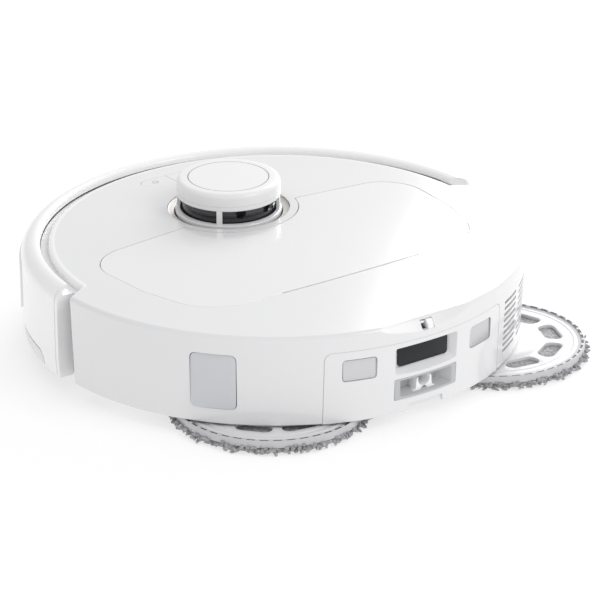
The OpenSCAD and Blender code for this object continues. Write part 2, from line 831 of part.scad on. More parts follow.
module dust_bin() {
  color("#5d6064", 0.7) difference() {
    block([bin_x0, bin_y0, bin_z0], [bin_x1, bin_y1, bin_z1]);
    block([bin_x0 + bin_wall, bin_y0 + bin_wall, bin_z0 + bin_wall], [bin_x1 - bin_wall, bin_y1 - bin_wall, bin_z1 + 1]);
    // inlet from the dirt duct, outlet to the filter
    block([bin_x0 + 4, bin_y0 - 1, 30], [26, bin_y0 + 4, 44]);
    block([bin_x0 - 1, bin_y0 + 8, 28], [bin_x0 + 4, bin_y1 - 8, 56]);
  }
}

module bin_lid() {
  color("#6a6d72") union() {
    block([bin_x0, bin_y0, bin_z1 + 0.1], [bin_x1, bin_y1, bin_z1 + 2]);
    // folding grip, laid flat
    difference() {
      block([14, 28, bin_z1 + 2 - e], [58, 52, bin_z1 + 5]);
      block([19, 33, bin_z1 + 1.9], [53, 47, bin_z1 + 6]);
    }
  }
}

module filter_frame() {
  color("#e8e9ea") difference() {
    block([bin_x0 - 10, bin_y0 + 4, 24], [bin_x0 - 0.1, bin_y1 - 4, 60]);
    block([bin_x0 - 11, bin_y0 + 7, 27], [bin_x0 + 1, bin_y1 - 7, 57]);
  }
}

module filter_media() {
  n = 18;
  pitch = (bin_y1 - bin_y0 - 14.4) / n;
  color("white") translate([bin_x0 - 9, bin_y0 + 7.2, 27.1]) linear_extrude(29.8) polygon(concat(
    [for (i = [0 : n]) [i % 2 == 0 ? 0 : 6, i * pitch]],
    [for (i = [n : -1 : 0]) [(i % 2 == 0 ? 0 : 6) + 1.6, i * pitch]]
  ));
}

module tank_plan(d) {
  intersection() {
    circle(inner_r - 2.5 - d);
    polygon([[-40 + d, 84 + d], [52, 84 + d], [124 - d, 84 + d], [124 - d, 120], [60, pocket_y - 6 - d], [-40 + d, pocket_y - 6 - d]]);
  }
}

module water_tank() {
  color("#dfe3e8", 0.8) difference() {
    translate([0, 0, 40]) linear_extrude(30) tank_plan(0);
    translate([0, 0, 42]) linear_extrude(26) tank_plan(2);
    translate([20, 120, 60]) cylinder(h = 20, r = 9);
  }
}

module tank_stopper() {
  color("#5d6064") translate([20, 120, 0]) union() {
    translate([0, 0, 67]) cylinder(h = 4, r = 8.8);
    translate([0, 0, 70.1]) cylinder(h = 1.6, r = 11);
  }
}

module battery() {
  color("#35506e") union() {
    for (x = [-1, 1], y = [0, 1]) translate([x * 35, -105.4 - y * 21, 47]) rotate([0, 90, 0])
      cylinder(h = 69.6, r = 9.9, center = true);
    block([-70, -137, 44], [70, -95.2, 50]);
  }
}

module main_board() {
  color("#1f6b46") union() {
    block([-50, -152, 61], [48, -112, 62.6]);
    for (x = [-34, -8, 20]) translate([x, -134, 62.6 - e]) cube([14, 14, 1.4]);
    block([-48, -150, 62.5], [-38, -140, 68]);
  }
}

module fan_housing() {
  color("#cfd0d2") translate([-87, fan_y, fan_z]) difference() {
    rotate([0, 90, 0]) cylinder(h = 49, r = fan_r);
    translate([2, 0, 0]) rotate([0, 90, 0]) cylinder(h = 45, r = fan_r - 2.4);
    translate([40, 0, 0]) rotate([0, 90, 0]) cylinder(h = 12, r = 12);
    translate([31, 10, 3]) cube([13, 30, 13]);
  }
}

module fan_motor() {
  color("#7c7e82") translate([-84.9, fan_y, fan_z]) rotate([0, 90, 0]) difference() {
    cylinder(h = 28, r = 14);
    translate([0, 0, 14]) cylinder(h = 20, r = 2 + run_c);
  }
}

module fan_impeller() {
  color("#1d1e20") translate([-54, fan_y, fan_z]) rotate([0, 90, 0]) union() {
    cylinder(h = 1.6, r = 21);
    cylinder(h = 11, r = 6);
    translate([0, 0, -14]) cylinder(h = 15, r = 2);
    for (i = [0 : 8]) rotate([0, 0, i * 40]) translate([5, -0.7, 0]) cube([15.6, 1.4, 10]);
  }
}

// ---------------------------------------------------------------- brushes and wheels

module main_brush() {
  fins = 6;
  color("#4a4c50") translate([-brush_l / 2, brush_y, brush_z]) rotate([0, 90, 0]) union() {
    cylinder(h = brush_l, r = 13);
    for (i = [0 : fins - 1]) rotate([0, 0, i * 360 / fins]) translate([10, -1.2, 2])
      cube([brush_r - 10, 2.4, brush_l - 4]);
    translate([0, 0, -6.5]) cylinder(h = 8, r = 3);
    translate([0, 0, brush_l - 1]) cylinder(h = 8, r = 3);
  }
}

module brush_guard() {
  color("#b9bbbe") difference() {
    block([-tunnel_half_l - 11, brush_y - tunnel_half_w - 7, plate_z - 3], [tunnel_half_l + 11, brush_y + tunnel_half_w + 7, plate_z - 0.1]);
    block([-tunnel_half_l + 3, brush_y - tunnel_half_w + 1.5, 0], [tunnel_half_l - 3, brush_y + tunnel_half_w - 1.5, plate_z + 1]);
  }
}

module brush_gearbox() {
  color("#3d3f42") difference() {
    union() {
      block([tunnel_half_l + 2.2, -86, plate_top + 0.1], [tunnel_half_l + 18, -52, 44]);
      translate([tunnel_half_l + 18 - e, -76, 36]) rotate([0, 90, 0]) cylinder(h = 22, r = 8);
    }
    translate([tunnel_half_l, brush_y, brush_z]) rotate([0, 90, 0]) cylinder(h = 8, r = 3 + run_c);
  }
}

module side_brush() {
  color("#55585c") translate([side_brush_at[0], side_brush_at[1], 0]) union() {
    translate([0, 0, 3]) cylinder(h = 6, r = 8);
    translate([0, 0, 8]) cylinder(h = 12, r = 3);
    for (i = [0 : 2]) rotate([0, 0, 50 + i * 120]) translate([0, -2, 1]) cube([side_arm_l, 4, 2.5]);
  }
}

module side_brush_motor() {
  color("#3d3f42") translate([side_brush_at[0], side_brush_at[1], plate_top + 0.1]) difference() {
    cylinder(h = 26, r = 14.8);
    translate([0, 0, -1]) cylinder(h = 8, r = 3 + run_c);
  }
}

// arm, hub and tyre are drawn for the robot's left and mirrored for its right
module wheel_arm() {
  x0 = well_x0 + 1.5;
  color("#3a3b3e") difference() {
    union() {
      hull() {
        translate([x0, wheel_y, wheel_r]) rotate([0, 90, 0]) cylinder(h = arm_t, r = 17, $fn = 48);
        translate([x0, arm_pin_y, arm_pin_z]) rotate([0, 90, 0]) cylinder(h = arm_t, r = 8, $fn = 48);
      }
      translate([x0 + arm_t - e, wheel_y, wheel_r]) rotate([0, 90, 0]) cylinder(h = wheel_w, r = 5);
    }
    translate([x0 - 1, arm_pin_y, arm_pin_z]) rotate([0, 90, 0]) cylinder(h = arm_t + 2, r = arm_pin_r + run_c);
  }
}

module wheel_hub() {
  color("#2d2e31") translate([wheel_x - wheel_w / 2, wheel_y, wheel_r]) rotate([0, 90, 0]) difference() {
    union() {
      cylinder(h = wheel_w, r = wheel_r - 8);
    }
    translate([0, 0, -1]) cylinder(h = wheel_w, r = 5 + run_c);
    for (i = [0 : 4]) rotate([0, 0, i * 72]) translate([16, 0, wheel_w - 6]) cylinder(h = 10, r = 5.5);
  }
}

module tyre() {
  lugs = 24;
  color("#3b3d40") translate([wheel_x - wheel_w / 2, wheel_y, wheel_r]) rotate([0, 90, 0]) difference() {
    cylinder(h = wheel_w, r = wheel_r);
    translate([0, 0, -1]) cylinder(h = wheel_w + 2, r = wheel_r - 8 + e);
    for (i = [0 : lugs - 1], k = [0, 1]) rotate([0, 0, (i + k / 2) * 360 / lugs])
      translate([wheel_r - 1.8, -1.4, k == 0 ? -1 : wheel_w / 2 + 1]) cube([4, 2.8, wheel_w / 2]);
  }
}

module both_pins() {
  color("silver") for (s = [-1, 1]) translate([s * (well_x0 - 2), arm_pin_y, arm_pin_z]) rotate([0, s * 90, 0])
    cylinder(h = arm_t + 4.5, r = arm_pin_r);
}

module caster_fork() {
  color("#d5d6d8") translate([0, caster_y, 0]) difference() {
    union() {
      translate([0, 0, 24]) cylinder(h = 4, r = 17.6);
      translate([0, 0, 27]) cylinder(h = 8.5, r = 5);
      for (s = [-1, 1]) translate([s * 8.5 - 1.2, caster_trail - 7, 7]) cube([2.4, 13, 18]);
    }
    translate([-20, caster_trail, caster_r]) rotate([0, 90, 0]) cylinder(h = 40, r = 1.5 + run_c);
  }
}

module caster_wheel() {
  color("#3c3d40") translate([0, caster_y + caster_trail, caster_r]) rotate([0, 90, 0]) union() {
    cylinder(h = 13, r = caster_r, center = true);
    cylinder(h = 19.4, r = 1.5, center = true);
  }
}

// ---------------------------------------------------------------- mops

module kidney_slots() {
  pitch = 360 / mop_slots;
  for (i = [0 : mop_slots - 1]) rotate([0, 0, i * pitch]) rotate([0, 0, -pitch * 0.36])
    translate([0, 0, 2]) rotate_extrude(angle = pitch * 0.72) translate([37, 0]) square([13, 12]);
}

module mop_plate(at) {
  color("#eceded") translate([at[0], at[1], 0]) difference() {
    union() {
      translate([0, 0, pad_h + 2]) cylinder(h = 2, r = mop_web_r + 1);
      tube(mop_ring_r, mop_web_r, pad_h + 0.1, mop_ring_z - 1.2);
      tube(mop_ring_r - 0.8, mop_ring_r - 2.2, pad_h + 2, mop_ring_z);
      translate([0, 0, pad_h + 2]) rotate_extrude()
        polygon([[0, 0], [36, 0], [36, 2], [30, 2.9], [22, 3.6], [0, 4]]);
      // drive boss that the motor's cup turns
      translate([0, 0, pad_h + 5]) cylinder(h = 7, r = 5, $fn = 6);
    }
    kidney_slots();
  }
}

module mop_pad(at) {
  color("#a9aaac") translate([at[0], at[1], 0]) union() {
    cylinder(h = pad_h, r = pad_r - 0.5);
    translate([0, 0, 1]) cylinder(h = pad_h - 2, r = pad_r);
    translate([0, 0, pad_h - e]) cylinder(h = 1.9, r = mop_web_r - 2);
  }
}

module mop_motor(at, z0) {
  color("#3d3f42") translate([at[0], at[1], z0]) difference() {
    union() {
      cylinder(h = 22, r = motor_r);
      cylinder(h = 23, r = 6);
    }
    translate([0, 0, -1]) cylinder(h = 5, r = 6.2);
  }
}

module mop_arm() {
  color("#d2d3d5") difference() {
    union() {
      translate([arm_pivot[0], arm_pivot[1], 12]) cylinder(h = 17.5, r = 10);
      translate([mop_right[0], mop_right[1], 12]) cylinder(h = 3, r = motor_r + 0.6);
      translate([arm_pivot[0], arm_pivot[1], 12]) rotate([0, 0, -(arm_mid_a - swing_half)])
        block([-9, 0, 0], [9, arm_l - 9, 3]);
    }
    translate([mop_right[0], mop_right[1], 5]) cylinder(h = 20, r = 7);
    translate([arm_pivot[0], arm_pivot[1], 5]) cylinder(h = 40, r = 4 + run_c);
  }
}

module mop_arm_pin() {
  color("silver") translate([arm_pivot[0], arm_pivot[1], 0]) union() {
    translate([0, 0, 11.6]) cylinder(h = 22.6, r = 4);
    translate([0, 0, 34.1]) cylinder(h = 2, r = 6);
  }
}

lower_chassis();
top_shell();
lid();
rear_panel();
contact(1);  // charging_contact_left
contact(-1);  // charging_contact_right
dock_sensor_window();
filler_port();
side_window();
exhaust_mesh();
exhaust_duct();
rear_clip();
bumper();
bumper_trim();
front_sensor_cover();
bumper_springs();
lidar_base();
lidar_head();
turret_cap();
lidar_motor();
lidar_pulley();
lidar_belt();
button(1);  // power_button
button(-1);  // dock_button
dust_bin();
bin_lid();
filter_frame();
filter_media();
water_tank();
tank_stopper();
battery();
main_board();
fan_housing();
fan_motor();
fan_impeller();
main_brush();
brush_guard();
brush_gearbox();
side_brush();
side_brush_motor();
wheel_arm();  // left_wheel_arm
wheel_hub();  // left_wheel_hub
tyre();  // left_tyre
mirror([1, 0, 0]) wheel_arm();  // right_wheel_arm
mirror([1, 0, 0]) wheel_hub();  // right_wheel_hub
mirror([1, 0, 0]) tyre();  // right_tyre
both_pins();  // wheel_pivot_pins
caster_fork();
caster_wheel();
mop_plate(mop_left);  // mop_plate_left
mop_pad(mop_left);  // mop_pad_left
mop_motor(mop_left, plate_top + 0.1);  // mop_motor_left
mop_arm();
mop_arm_pin();
mop_motor(mop_right, 15.1);  // mop_motor_right
mop_plate(mop_right);  // mop_plate_right
mop_pad(mop_right);  // mop_pad_right
cliff_windows();
speaker();
chassis_screws();
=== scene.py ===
"""Looks of a round robot vacuum and mop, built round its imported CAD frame.

Sizes in the classes are millimetres; meshes are made in metres. Angles in plan
are degrees from the rear (+Y) towards the robot's left (+X), unless named turn.
"""

import logging
import math
import random
from dataclasses import dataclass
from enum import Enum
from typing import Callable, Iterable, Optional, Sequence

import bmesh
import bpy
from mathutils import Matrix, Vector


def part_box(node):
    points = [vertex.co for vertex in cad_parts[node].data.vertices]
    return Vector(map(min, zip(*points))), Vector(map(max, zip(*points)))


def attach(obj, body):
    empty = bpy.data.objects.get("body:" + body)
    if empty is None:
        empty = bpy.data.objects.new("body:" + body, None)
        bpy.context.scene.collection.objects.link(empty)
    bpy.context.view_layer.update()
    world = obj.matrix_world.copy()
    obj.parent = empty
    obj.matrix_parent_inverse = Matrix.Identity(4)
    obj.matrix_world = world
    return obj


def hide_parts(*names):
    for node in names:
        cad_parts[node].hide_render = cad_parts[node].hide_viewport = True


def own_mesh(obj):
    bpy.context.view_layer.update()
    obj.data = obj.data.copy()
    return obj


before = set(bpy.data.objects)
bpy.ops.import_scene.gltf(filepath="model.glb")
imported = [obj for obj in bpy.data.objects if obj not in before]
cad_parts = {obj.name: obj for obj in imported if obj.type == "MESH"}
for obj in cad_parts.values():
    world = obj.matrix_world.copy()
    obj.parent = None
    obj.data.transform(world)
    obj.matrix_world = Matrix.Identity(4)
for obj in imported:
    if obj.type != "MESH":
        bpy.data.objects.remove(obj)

log = logging.getLogger("robot_vacuum")
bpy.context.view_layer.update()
MM = 0.001

# Edges that turn by more degrees than this stay sharp.
SHARP = 32.0
# Points closer than MERGE metres become one; faces thinner than THIN go.
MERGE, THIN = 2e-6, 1e-6
# A height above everything on the robot, for tools that cut right through.
OVER = 100
# Where tools that cut through the rear wall start and end along Y.
REAR, DEEP_REAR = (150, 190), (140, 190)

Flat = tuple[float, float]
Spot = tuple[float, float, float]
Object = bpy.types.Object
NormalRule = Callable[[Vector], Optional[Vector]]


# ------------------------------------------------------------------ measures


def polar(radius: float, angle: float) -> Flat:
    """Point at a radius and an angle from the rear towards the robot's left."""
    a = math.radians(angle)
    return (radius * math.sin(a), radius * math.cos(a))


def arc(centre: Flat, radius: float, start: float, end: float, steps: int) -> list[Flat]:
    """Points along an arc, angles as in polar.

    Args:
        centre: middle of the arc.
        radius: its radius.
        start: first angle.
        end: last angle.
        steps: number of segments.

    Returns:
        steps + 1 points.
    """
    turns = (start + (end - start) * i / steps for i in range(steps + 1))
    return [(centre[0] + p[0], centre[1] + p[1]) for p in (polar(radius, t) for t in turns)]


def bend(centre: Flat, radius: float, start: float, end: float, steps: int) -> list[Flat]:
    """Points along an arc whose angles are ordinary ones, from the first axis."""
    turns = (math.radians(start + (end - start) * i / steps) for i in range(steps + 1))
    return [(centre[0] + radius * math.cos(t), centre[1] + radius * math.sin(t)) for t in turns]


def rounded(width: float, height: float, radius: float, centre: Flat = (0, 0),
            steps: int = 6) -> list[Flat]:
    """Outline of a rectangle with round corners, anticlockwise.

    Args:
        width: full width.
        height: full height.
        radius: corner radius.
        centre: middle of the rectangle.
        steps: segments in each corner.

    Returns:
        The outline's points.
    """
    w, h = width / 2 - radius, height / 2 - radius
    corners = ((w, h, 0), (-w, h, 90), (-w, -h, 180), (w, -h, 270))
    out: list[Flat] = []
    for x, y, turn in corners:
        out += bend((centre[0] + x, centre[1] + y), radius, turn, turn + 90, steps)
    return out


def grown(outline: Sequence[Flat], by: float) -> list[Flat]:
    """Outline moved outwards by a distance, corner by corner.

    Args:
        outline: anticlockwise points.
        by: distance, negative to shrink.

    Returns:
        The moved points.
    """
    out: list[Flat] = []
    n = len(outline)
    for i, here in enumerate(outline):
        before, after = Vector(outline[i - 1]), Vector(outline[(i + 1) % n])
        one = (Vector(here) - before).normalized()
        two = (after - Vector(here)).normalized()
        normal = Vector((one.y + two.y, -one.x - two.x))
        if normal.length < 1e-6:
            normal = Vector((one.y, -one.x))
        normal.normalize()
        reach = by / max(0.5, normal.dot(Vector((one.y, -one.x))))
        out.append((here[0] + normal.x * reach, here[1] + normal.y * reach))
    return out


# ------------------------------------------------------------------ mesh making


class Axis(Enum):
    """Direction in which an outline is extruded or turned."""

    X = "X"
    Y = "Y"
    Z = "Z"


class Cut(Enum):
    """What a boolean does with the second solid."""

    TAKE = "DIFFERENCE"
    ADD = "UNION"
    KEEP = "INTERSECT"


def tidy(obj: Object, sharp: float = SHARP) -> Object:
    """Merges doubles, points faces outwards and shades smooth up to an angle.

    Args:
        obj: the mesh object.
        sharp: edges sharper than this many degrees stay sharp.

    Returns:
        The same object.
    """
    bm = bmesh.new()
    bm.from_mesh(obj.data)
    bmesh.ops.remove_doubles(bm, verts=bm.verts, dist=MERGE)
    bmesh.ops.dissolve_degenerate(bm, dist=THIN, edges=bm.edges)
    bmesh.ops.recalc_face_normals(bm, faces=bm.faces)
    bm.to_mesh(obj.data)
    bm.free()
    obj.data.polygons.foreach_set("use_smooth", [True] * len(obj.data.polygons))
    obj.data.set_sharp_from_angle(angle=math.radians(sharp))
    obj.data.update()
    return obj


def linked(name: str, mesh: bpy.types.Mesh) -> Object:
    """New object of a mesh, put in the scene.

    Args:
        name: piece name.
        mesh: its mesh.

    Returns:
        The object.
    """
    obj = bpy.data.objects.new(name, mesh)
    bpy.context.scene.collection.objects.link(obj)
    return obj


def bands(rows: int, corners: int, closed: bool = False) -> list[Sequence[int]]:
    """Faces between neighbouring rings of points.

    Args:
        rows: number of rings.
        corners: points in each ring.
        closed: whether the last ring joins the first.

    Returns:
        Four corner numbers for each face.
    """
    faces: list[Sequence[int]] = []
    for i in range(rows if closed else rows - 1):
        a, b = i * corners, (i + 1) % rows * corners
        faces += [(a + k, b + k, b + (k + 1) % corners, a + (k + 1) % corners) for k in range(corners)]
    return faces


def ends(rows: int, corners: int) -> list[Sequence[int]]:
    """Faces that close the first and the last ring."""
    return [tuple(range(corners)), tuple(range(rows * corners - 1, (rows - 1) * corners - 1, -1))]


def walls(corners: int) -> list[Sequence[int]]:
    """Faces between two outlines of that many corners, from the first to the second."""
    return [(i, (i + 1) % corners, corners + (i + 1) % corners, corners + i) for i in range(corners)]


def solid(name: str, points: Iterable[Spot], faces: Iterable[Sequence[int]], sharp: float = SHARP) -> Object:
    """Mesh object from points in millimetres.

    Args:
        name: piece name.
        points: corners.
        faces: corner numbers of each face.
        sharp: angle over which edges stay sharp.

    Returns:
        The mesh object.
    """
    mesh = bpy.data.meshes.new(name)
    mesh.from_pydata([Vector(p) * MM for p in points], [], [tuple(f) for f in faces])
    return tidy(linked(name, mesh), sharp)


def place(axis: Axis, u: float, v: float, along: float) -> Spot:
    """Point of an outline (u, v) at a height along an axis.

    Args:
        axis: the axis.
        u: first value in the outline.
        v: second value in the outline.
        along: height along the axis.

    Returns:
        The point.
    """
    if axis is Axis.Z:
        return (u, v, along)
    return (u, along, v) if axis is Axis.Y else (along, u, v)


def extruded(name: str, outline: Sequence[Flat], low: float, high: float, axis: Axis = Axis.Z) -> Object:
    """Straight prism over an outline.

    Args:
        name: piece name.
        outline: (x, y), (x, z) or (y, z) points for the Z, Y or X axis.
        low: start along the axis.
        high: end along the axis.
        axis: direction of the extrusion.

    Returns:
        The mesh object.
    """
    n = len(outline)
    points = [place(axis, u, v, along) for along in (low, high) for u, v in outline]
    return solid(name, points, ends(2, n) + walls(n))


def turned(name: str, profile: Sequence[Flat], at: Spot = (0, 0, 0), span: tuple[float, float] = (0, 360),
           steps: int = 128, axis: Axis = Axis.Z, sharp: float = SHARP) -> Object:
    """Closed (radius, height) profile turned about an axis.

    Args:
        name: piece name.
        profile: closed profile.
        at: middle of the turn.
        span: first and last turn angle; a full turn closes on itself.
        steps: segments round the span.
        axis: axis of the turn.
        sharp: angle over which edges stay sharp.

    Returns:
        The mesh object.
    """
    whole = span[1] - span[0] >= 360
    rows, n = (steps if whole else steps + 1), len(profile)
    points: list[Spot] = []
    for i in range(rows):
        t = math.radians(span[0] + (span[1] - span[0]) * i / steps)
        for r, h in profile:
            u, v = r * math.cos(t), r * math.sin(t)
            p = place(axis, u, v, h)
            points.append((at[0] + p[0], at[1] + p[1], at[2] + p[2]))
    faces = bands(rows, n, closed=True) if whole else bands(rows, n) + ends(rows, n)
    return solid(name, points, faces, sharp)


def rear_turned(name: str, profile: Sequence[Flat], start: float, end: float, steps: int = 96) -> Object:
    """Closed profile turned between two angles from the rear, about the body's axis."""
    return turned(name, profile, span=(90 - end, 90 - start), steps=steps)


def wrapped(name: str, columns: Sequence[tuple[float, float, float]], inner: float, outer: float) -> Object:
    """Band round the body, made of columns (angle, low, high) between two radii.

    Args:
        name: piece name.
        columns: angle, low and high of each column.
        inner: inner radius.
        outer: outer radius.

    Returns:
        The mesh object.
    """
    points: list[Spot] = []
    for angle, low, high in columns:
        near, far = polar(inner, angle), polar(outer, angle)
        points += [(*near, low), (*far, low), (*far, high), (*near, high)]
    return solid(name, points, bands(len(columns), 4) + ends(len(columns), 4))


def pad_columns(middle: float, width: float, low: float, high: float, corner: float,
                radius: float, steps: int = 6) -> list[tuple[float, float, float]]:
    """Columns of a rounded rectangle laid round a wall of that radius.

    Args:
        middle: angle of its middle.
        width: its width along the wall.
        low: its lower edge.
        high: its upper edge.
        corner: corner radius.
        radius: radius of the wall.
        steps: segments in each corner.

    Returns:
        Columns for wrapped.
    """
    half = width / 2
    out: list[tuple[float, float, float]] = []
    for side in (-1, 1):
        row = []
        for i in range(steps + 1):
            t = math.radians(90 * i / steps)
            s = half - corner + corner * math.sin(t)
            rise = corner * (1 - math.cos(t))
            row.append((middle + side * math.degrees(s / radius), low + rise, high - rise))
        out += row[::-1] if side < 0 else row
    return out


def baked(obj: Object) -> Object:
    """Applies an object's modifiers to its mesh.

    Args:
        obj: the object.

    Returns:
        The same object, without modifiers.
    """
    bpy.context.view_layer.update()
    graph = bpy.context.evaluated_depsgraph_get()
    mesh = bpy.data.meshes.new_from_object(obj.evaluated_get(graph))
    obj.modifiers.clear()
    obj.data = mesh
    return obj


def carved(obj: Object, others: Iterable[Object], how: Cut = Cut.TAKE, sharp: float = SHARP) -> Object:
    """Booleans solids with an object and removes them.

    Args:
        obj: the solid that is changed.
        others: the solids used on it, which are used up.
        how: take away, add or keep.
        sharp: angle over which edges stay sharp afterwards.

    Returns:
        The changed object.
    """
    for other in others:
        for solver in ("MANIFOLD", "EXACT"):
            mod = obj.modifiers.new("carve", "BOOLEAN")
            mod.operation, mod.object, mod.solver = how.value, other, solver
            before = obj.data
            baked(obj)
            if len(obj.data.polygons) > 3:
                break
            obj.data = before
        else:
            log.warning("a boolean on %s came out empty", obj.name)
        bpy.data.objects.remove(other)
    return tidy(obj, sharp)


def joined(name: str, parts: Sequence[Object]) -> Object:
    """One object from several closed meshes.

    Args:
        name: piece name.
        parts: the objects, which are used up.

    Returns:
        The new object.
    """
    bm = bmesh.new()
    for part in parts:
        bm.from_mesh(part.data)
        bpy.data.objects.remove(part)
    mesh = bpy.data.meshes.new(name)
    bm.to_mesh(mesh)
    bm.free()
    return tidy(linked(name, mesh))


def softened(obj: Object, width: float, segments: int = 2, angle: float = 40.0) -> Object:
    """Rounds an object's sharp edges by a width in millimetres.

    Args:
        obj: the mesh object.
        width: width of the round.
        segments: segments across it.
        angle: edges sharper than this are rounded.

    Returns:
        The same object.
    """
    mod = obj.modifiers.new("soft_edges", "BEVEL")
    mod.width, mod.segments, mod.limit_method = width * MM, segments, "ANGLE"
    mod.angle_limit = math.radians(angle)
    mod.miter_outer = "MITER_ARC"
    return tidy(baked(obj), 40.0)


def dressed_normals(obj: Object, rule: NormalRule, tolerance: float = 20.0) -> Object:
    """Gives corners that lie on a known surface that surface's own normal.

    Args:
        obj: the mesh object.
        rule: normal of the surface at a point in millimetres, or None off it.
        tolerance: faces turned away from the surface by more than this keep theirs.

    Returns:
        The same object.
    """
    mesh = obj.data
    least = math.cos(math.radians(tolerance))
    known = [rule(v.co / MM) for v in mesh.vertices]
    normals = [Vector(c.vector) for c in mesh.corner_normals]
    for face in mesh.polygons:
        for corner in face.loop_indices:
            n = known[mesh.loops[corner].vertex_index]
            if n is not None and n.dot(face.normal) > least:
                normals[corner] = n
    mesh.normals_split_custom_set(normals)
    return obj


def tube(name: str, path: Sequence[Spot], radius: float, sides: int = 8) -> Object:
    """Round rod along a path of points.

    Args:
        name: piece name.
        path: points along its middle.
        radius: radius of the rod.
        sides: corners of its section.

    Returns:
        The mesh object.
    """
    rings: list[Spot] = []
    n = len(path)
    side = Vector((0, 0, 1))
    for i, here in enumerate(path):
        ahead = Vector(path[min(i + 1, n - 1)]) - Vector(path[max(i - 1, 0)])
        ahead.normalize()
        across = side - ahead * side.dot(ahead)
        if across.length < 1e-3:
            across = ahead.orthogonal()
        across.normalize()
        side = across
        third = ahead.cross(across)
        for k in range(sides):
            t = 2 * math.pi * k / sides
            p = Vector(here) + radius * (math.cos(t) * across + math.sin(t) * third)
            rings.append((p.x, p.y, p.z))
    faces: list[Sequence[int]] = []
    for i in range(n - 1):
        a, b = i * sides, (i + 1) * sides
        faces += [(a + k, a + (k + 1) % sides, b + (k + 1) % sides, b + k) for k in range(sides)]
    faces += [tuple(range(sides)), tuple(range(n * sides - 1, (n - 1) * sides - 1, -1))]
    return solid(name, rings, faces)


# ------------------------------------------------------------------ finishes


COAT_ROUGH = 0.06
# Texture cells in one drift of the colour, and in one patch of the gloss.
CLOUD, PATCH = 60, 12
# Depths of relief in metres.
GRAIN_DEPTH, SCRATCH_DEPTH, TRACK_DEPTH, THREAD_DEPTH, LOOP_DEPTH = 0.00025, 0.0001, 0.0003, 0.0006, 0.0012


@dataclass(frozen=True)
class Finish:
    """A moulded plastic: colour that drifts slightly, fine texture, small wear in its gloss.

    Attributes:
        name: name of the material.
        colour: main linear colour.
        rough: roughness in the middle of its range.
        drift: share by which the colour darkens in places.
        grain: how many texture cells lie in a metre.
        relief: strength of the texture's bump.
        coat: weight of the clear coat.
        shine: how strongly the surface itself mirrors.
    """

    name: str
    colour: tuple[float, float, float]
    rough: float = 0.3
    drift: float = 0.03
    grain: float = 1400.0
    relief: float = 0.05
    coat: float = 0.0
    shine: float = 0.5

    def material(self) -> bpy.types.Material:
        """The node material of this finish, made once.

        Returns:
            The material.
        """
        label = f"{self.name}_finish"
        known = bpy.data.materials.get(label)
        if known is not None:
            return known
        mat = bpy.data.materials.new(label)
        mat.use_nodes = True
        mat.diffuse_color = (*self.colour, 1)
        self.build(mat.node_tree)
        return mat

    def build(self, tree: bpy.types.NodeTree) -> None:
        """Fills the node tree.

        Args:
            tree: the material's node tree.
        """
        shader = tree.nodes["Principled BSDF"]
        shader.inputs["Specular IOR Level"].default_value = self.shine
        if self.coat:
            shader.inputs["Coat Weight"].default_value = self.coat
            shader.inputs["Coat Roughness"].default_value = COAT_ROUGH
        self.colouring(tree, shader, self.noise(tree, self.grain / CLOUD, 3))
        fine = self.noise(tree, self.grain, 2)
        self.roughening(tree, shader, self.noise(tree, self.grain / PATCH, 4))
        self.bumping(tree, shader, fine.outputs["Fac"], GRAIN_DEPTH)

    def noise(self, tree: bpy.types.NodeTree, scale: float, detail: float) -> bpy.types.Node:
        """A noise texture laid on the object in metres.

        Args:
            tree: the material's node tree.
            scale: cells in a metre.
            detail: layers of finer noise.

        Returns:
            The noise node.
        """
        at = tree.nodes.new("ShaderNodeTexCoord")
        node = tree.nodes.new("ShaderNodeTexNoise")
        node.inputs["Scale"].default_value = scale
        node.inputs["Detail"].default_value = detail
        tree.links.new(at.outputs["Object"], node.inputs["Vector"])
        return node

    def colouring(self, tree: bpy.types.NodeTree, shader: bpy.types.Node, by: bpy.types.Node) -> None:
        """Lets the colour drift with a texture.

        Args:
            tree: the material's node tree.
            shader: its main shader.
            by: the texture whose factor is used.
        """
        mix = tree.nodes.new("ShaderNodeMix")
        mix.data_type = "RGBA"
        mix.inputs["A"].default_value = (*self.colour, 1)
        mix.inputs["B"].default_value = (*(c * (1 - self.drift) for c in self.colour), 1)
        tree.links.new(by.outputs["Fac"], mix.inputs["Factor"])
        tree.links.new(mix.outputs["Result"], shader.inputs["Base Color"])

    def roughening(self, tree: bpy.types.NodeTree, shader: bpy.types.Node, by: bpy.types.Node) -> None:
        """Lets the roughness vary with a texture.

        Args:
            tree: the material's node tree.
            shader: its main shader.
            by: the texture whose factor is used.
        """
        span = tree.nodes.new("ShaderNodeMapRange")
        span.inputs["To Min"].default_value = self.rough * 0.8
        span.inputs["To Max"].default_value = self.rough * 1.2
        tree.links.new(by.outputs["Fac"], span.inputs["Value"])
        tree.links.new(span.outputs["Result"], shader.inputs["Roughness"])

    def bumping(self, tree: bpy.types.NodeTree, shader: bpy.types.Node,
                height: bpy.types.NodeSocket, depth: float) -> None:
        """Raises the surface by a height, with a depth in metres.

        Args:
            tree: the material's node tree.
            shader: its main shader.
            height: the socket that gives the height.
            depth: how deep the relief is.
        """
        bump = tree.nodes.new("ShaderNodeBump")
        bump.inputs["Strength"].default_value = self.relief
        bump.inputs["Distance"].default_value = depth
        tree.links.new(height, bump.inputs["Height"])
        tree.links.new(bump.outputs["Normal"], shader.inputs["Normal"])


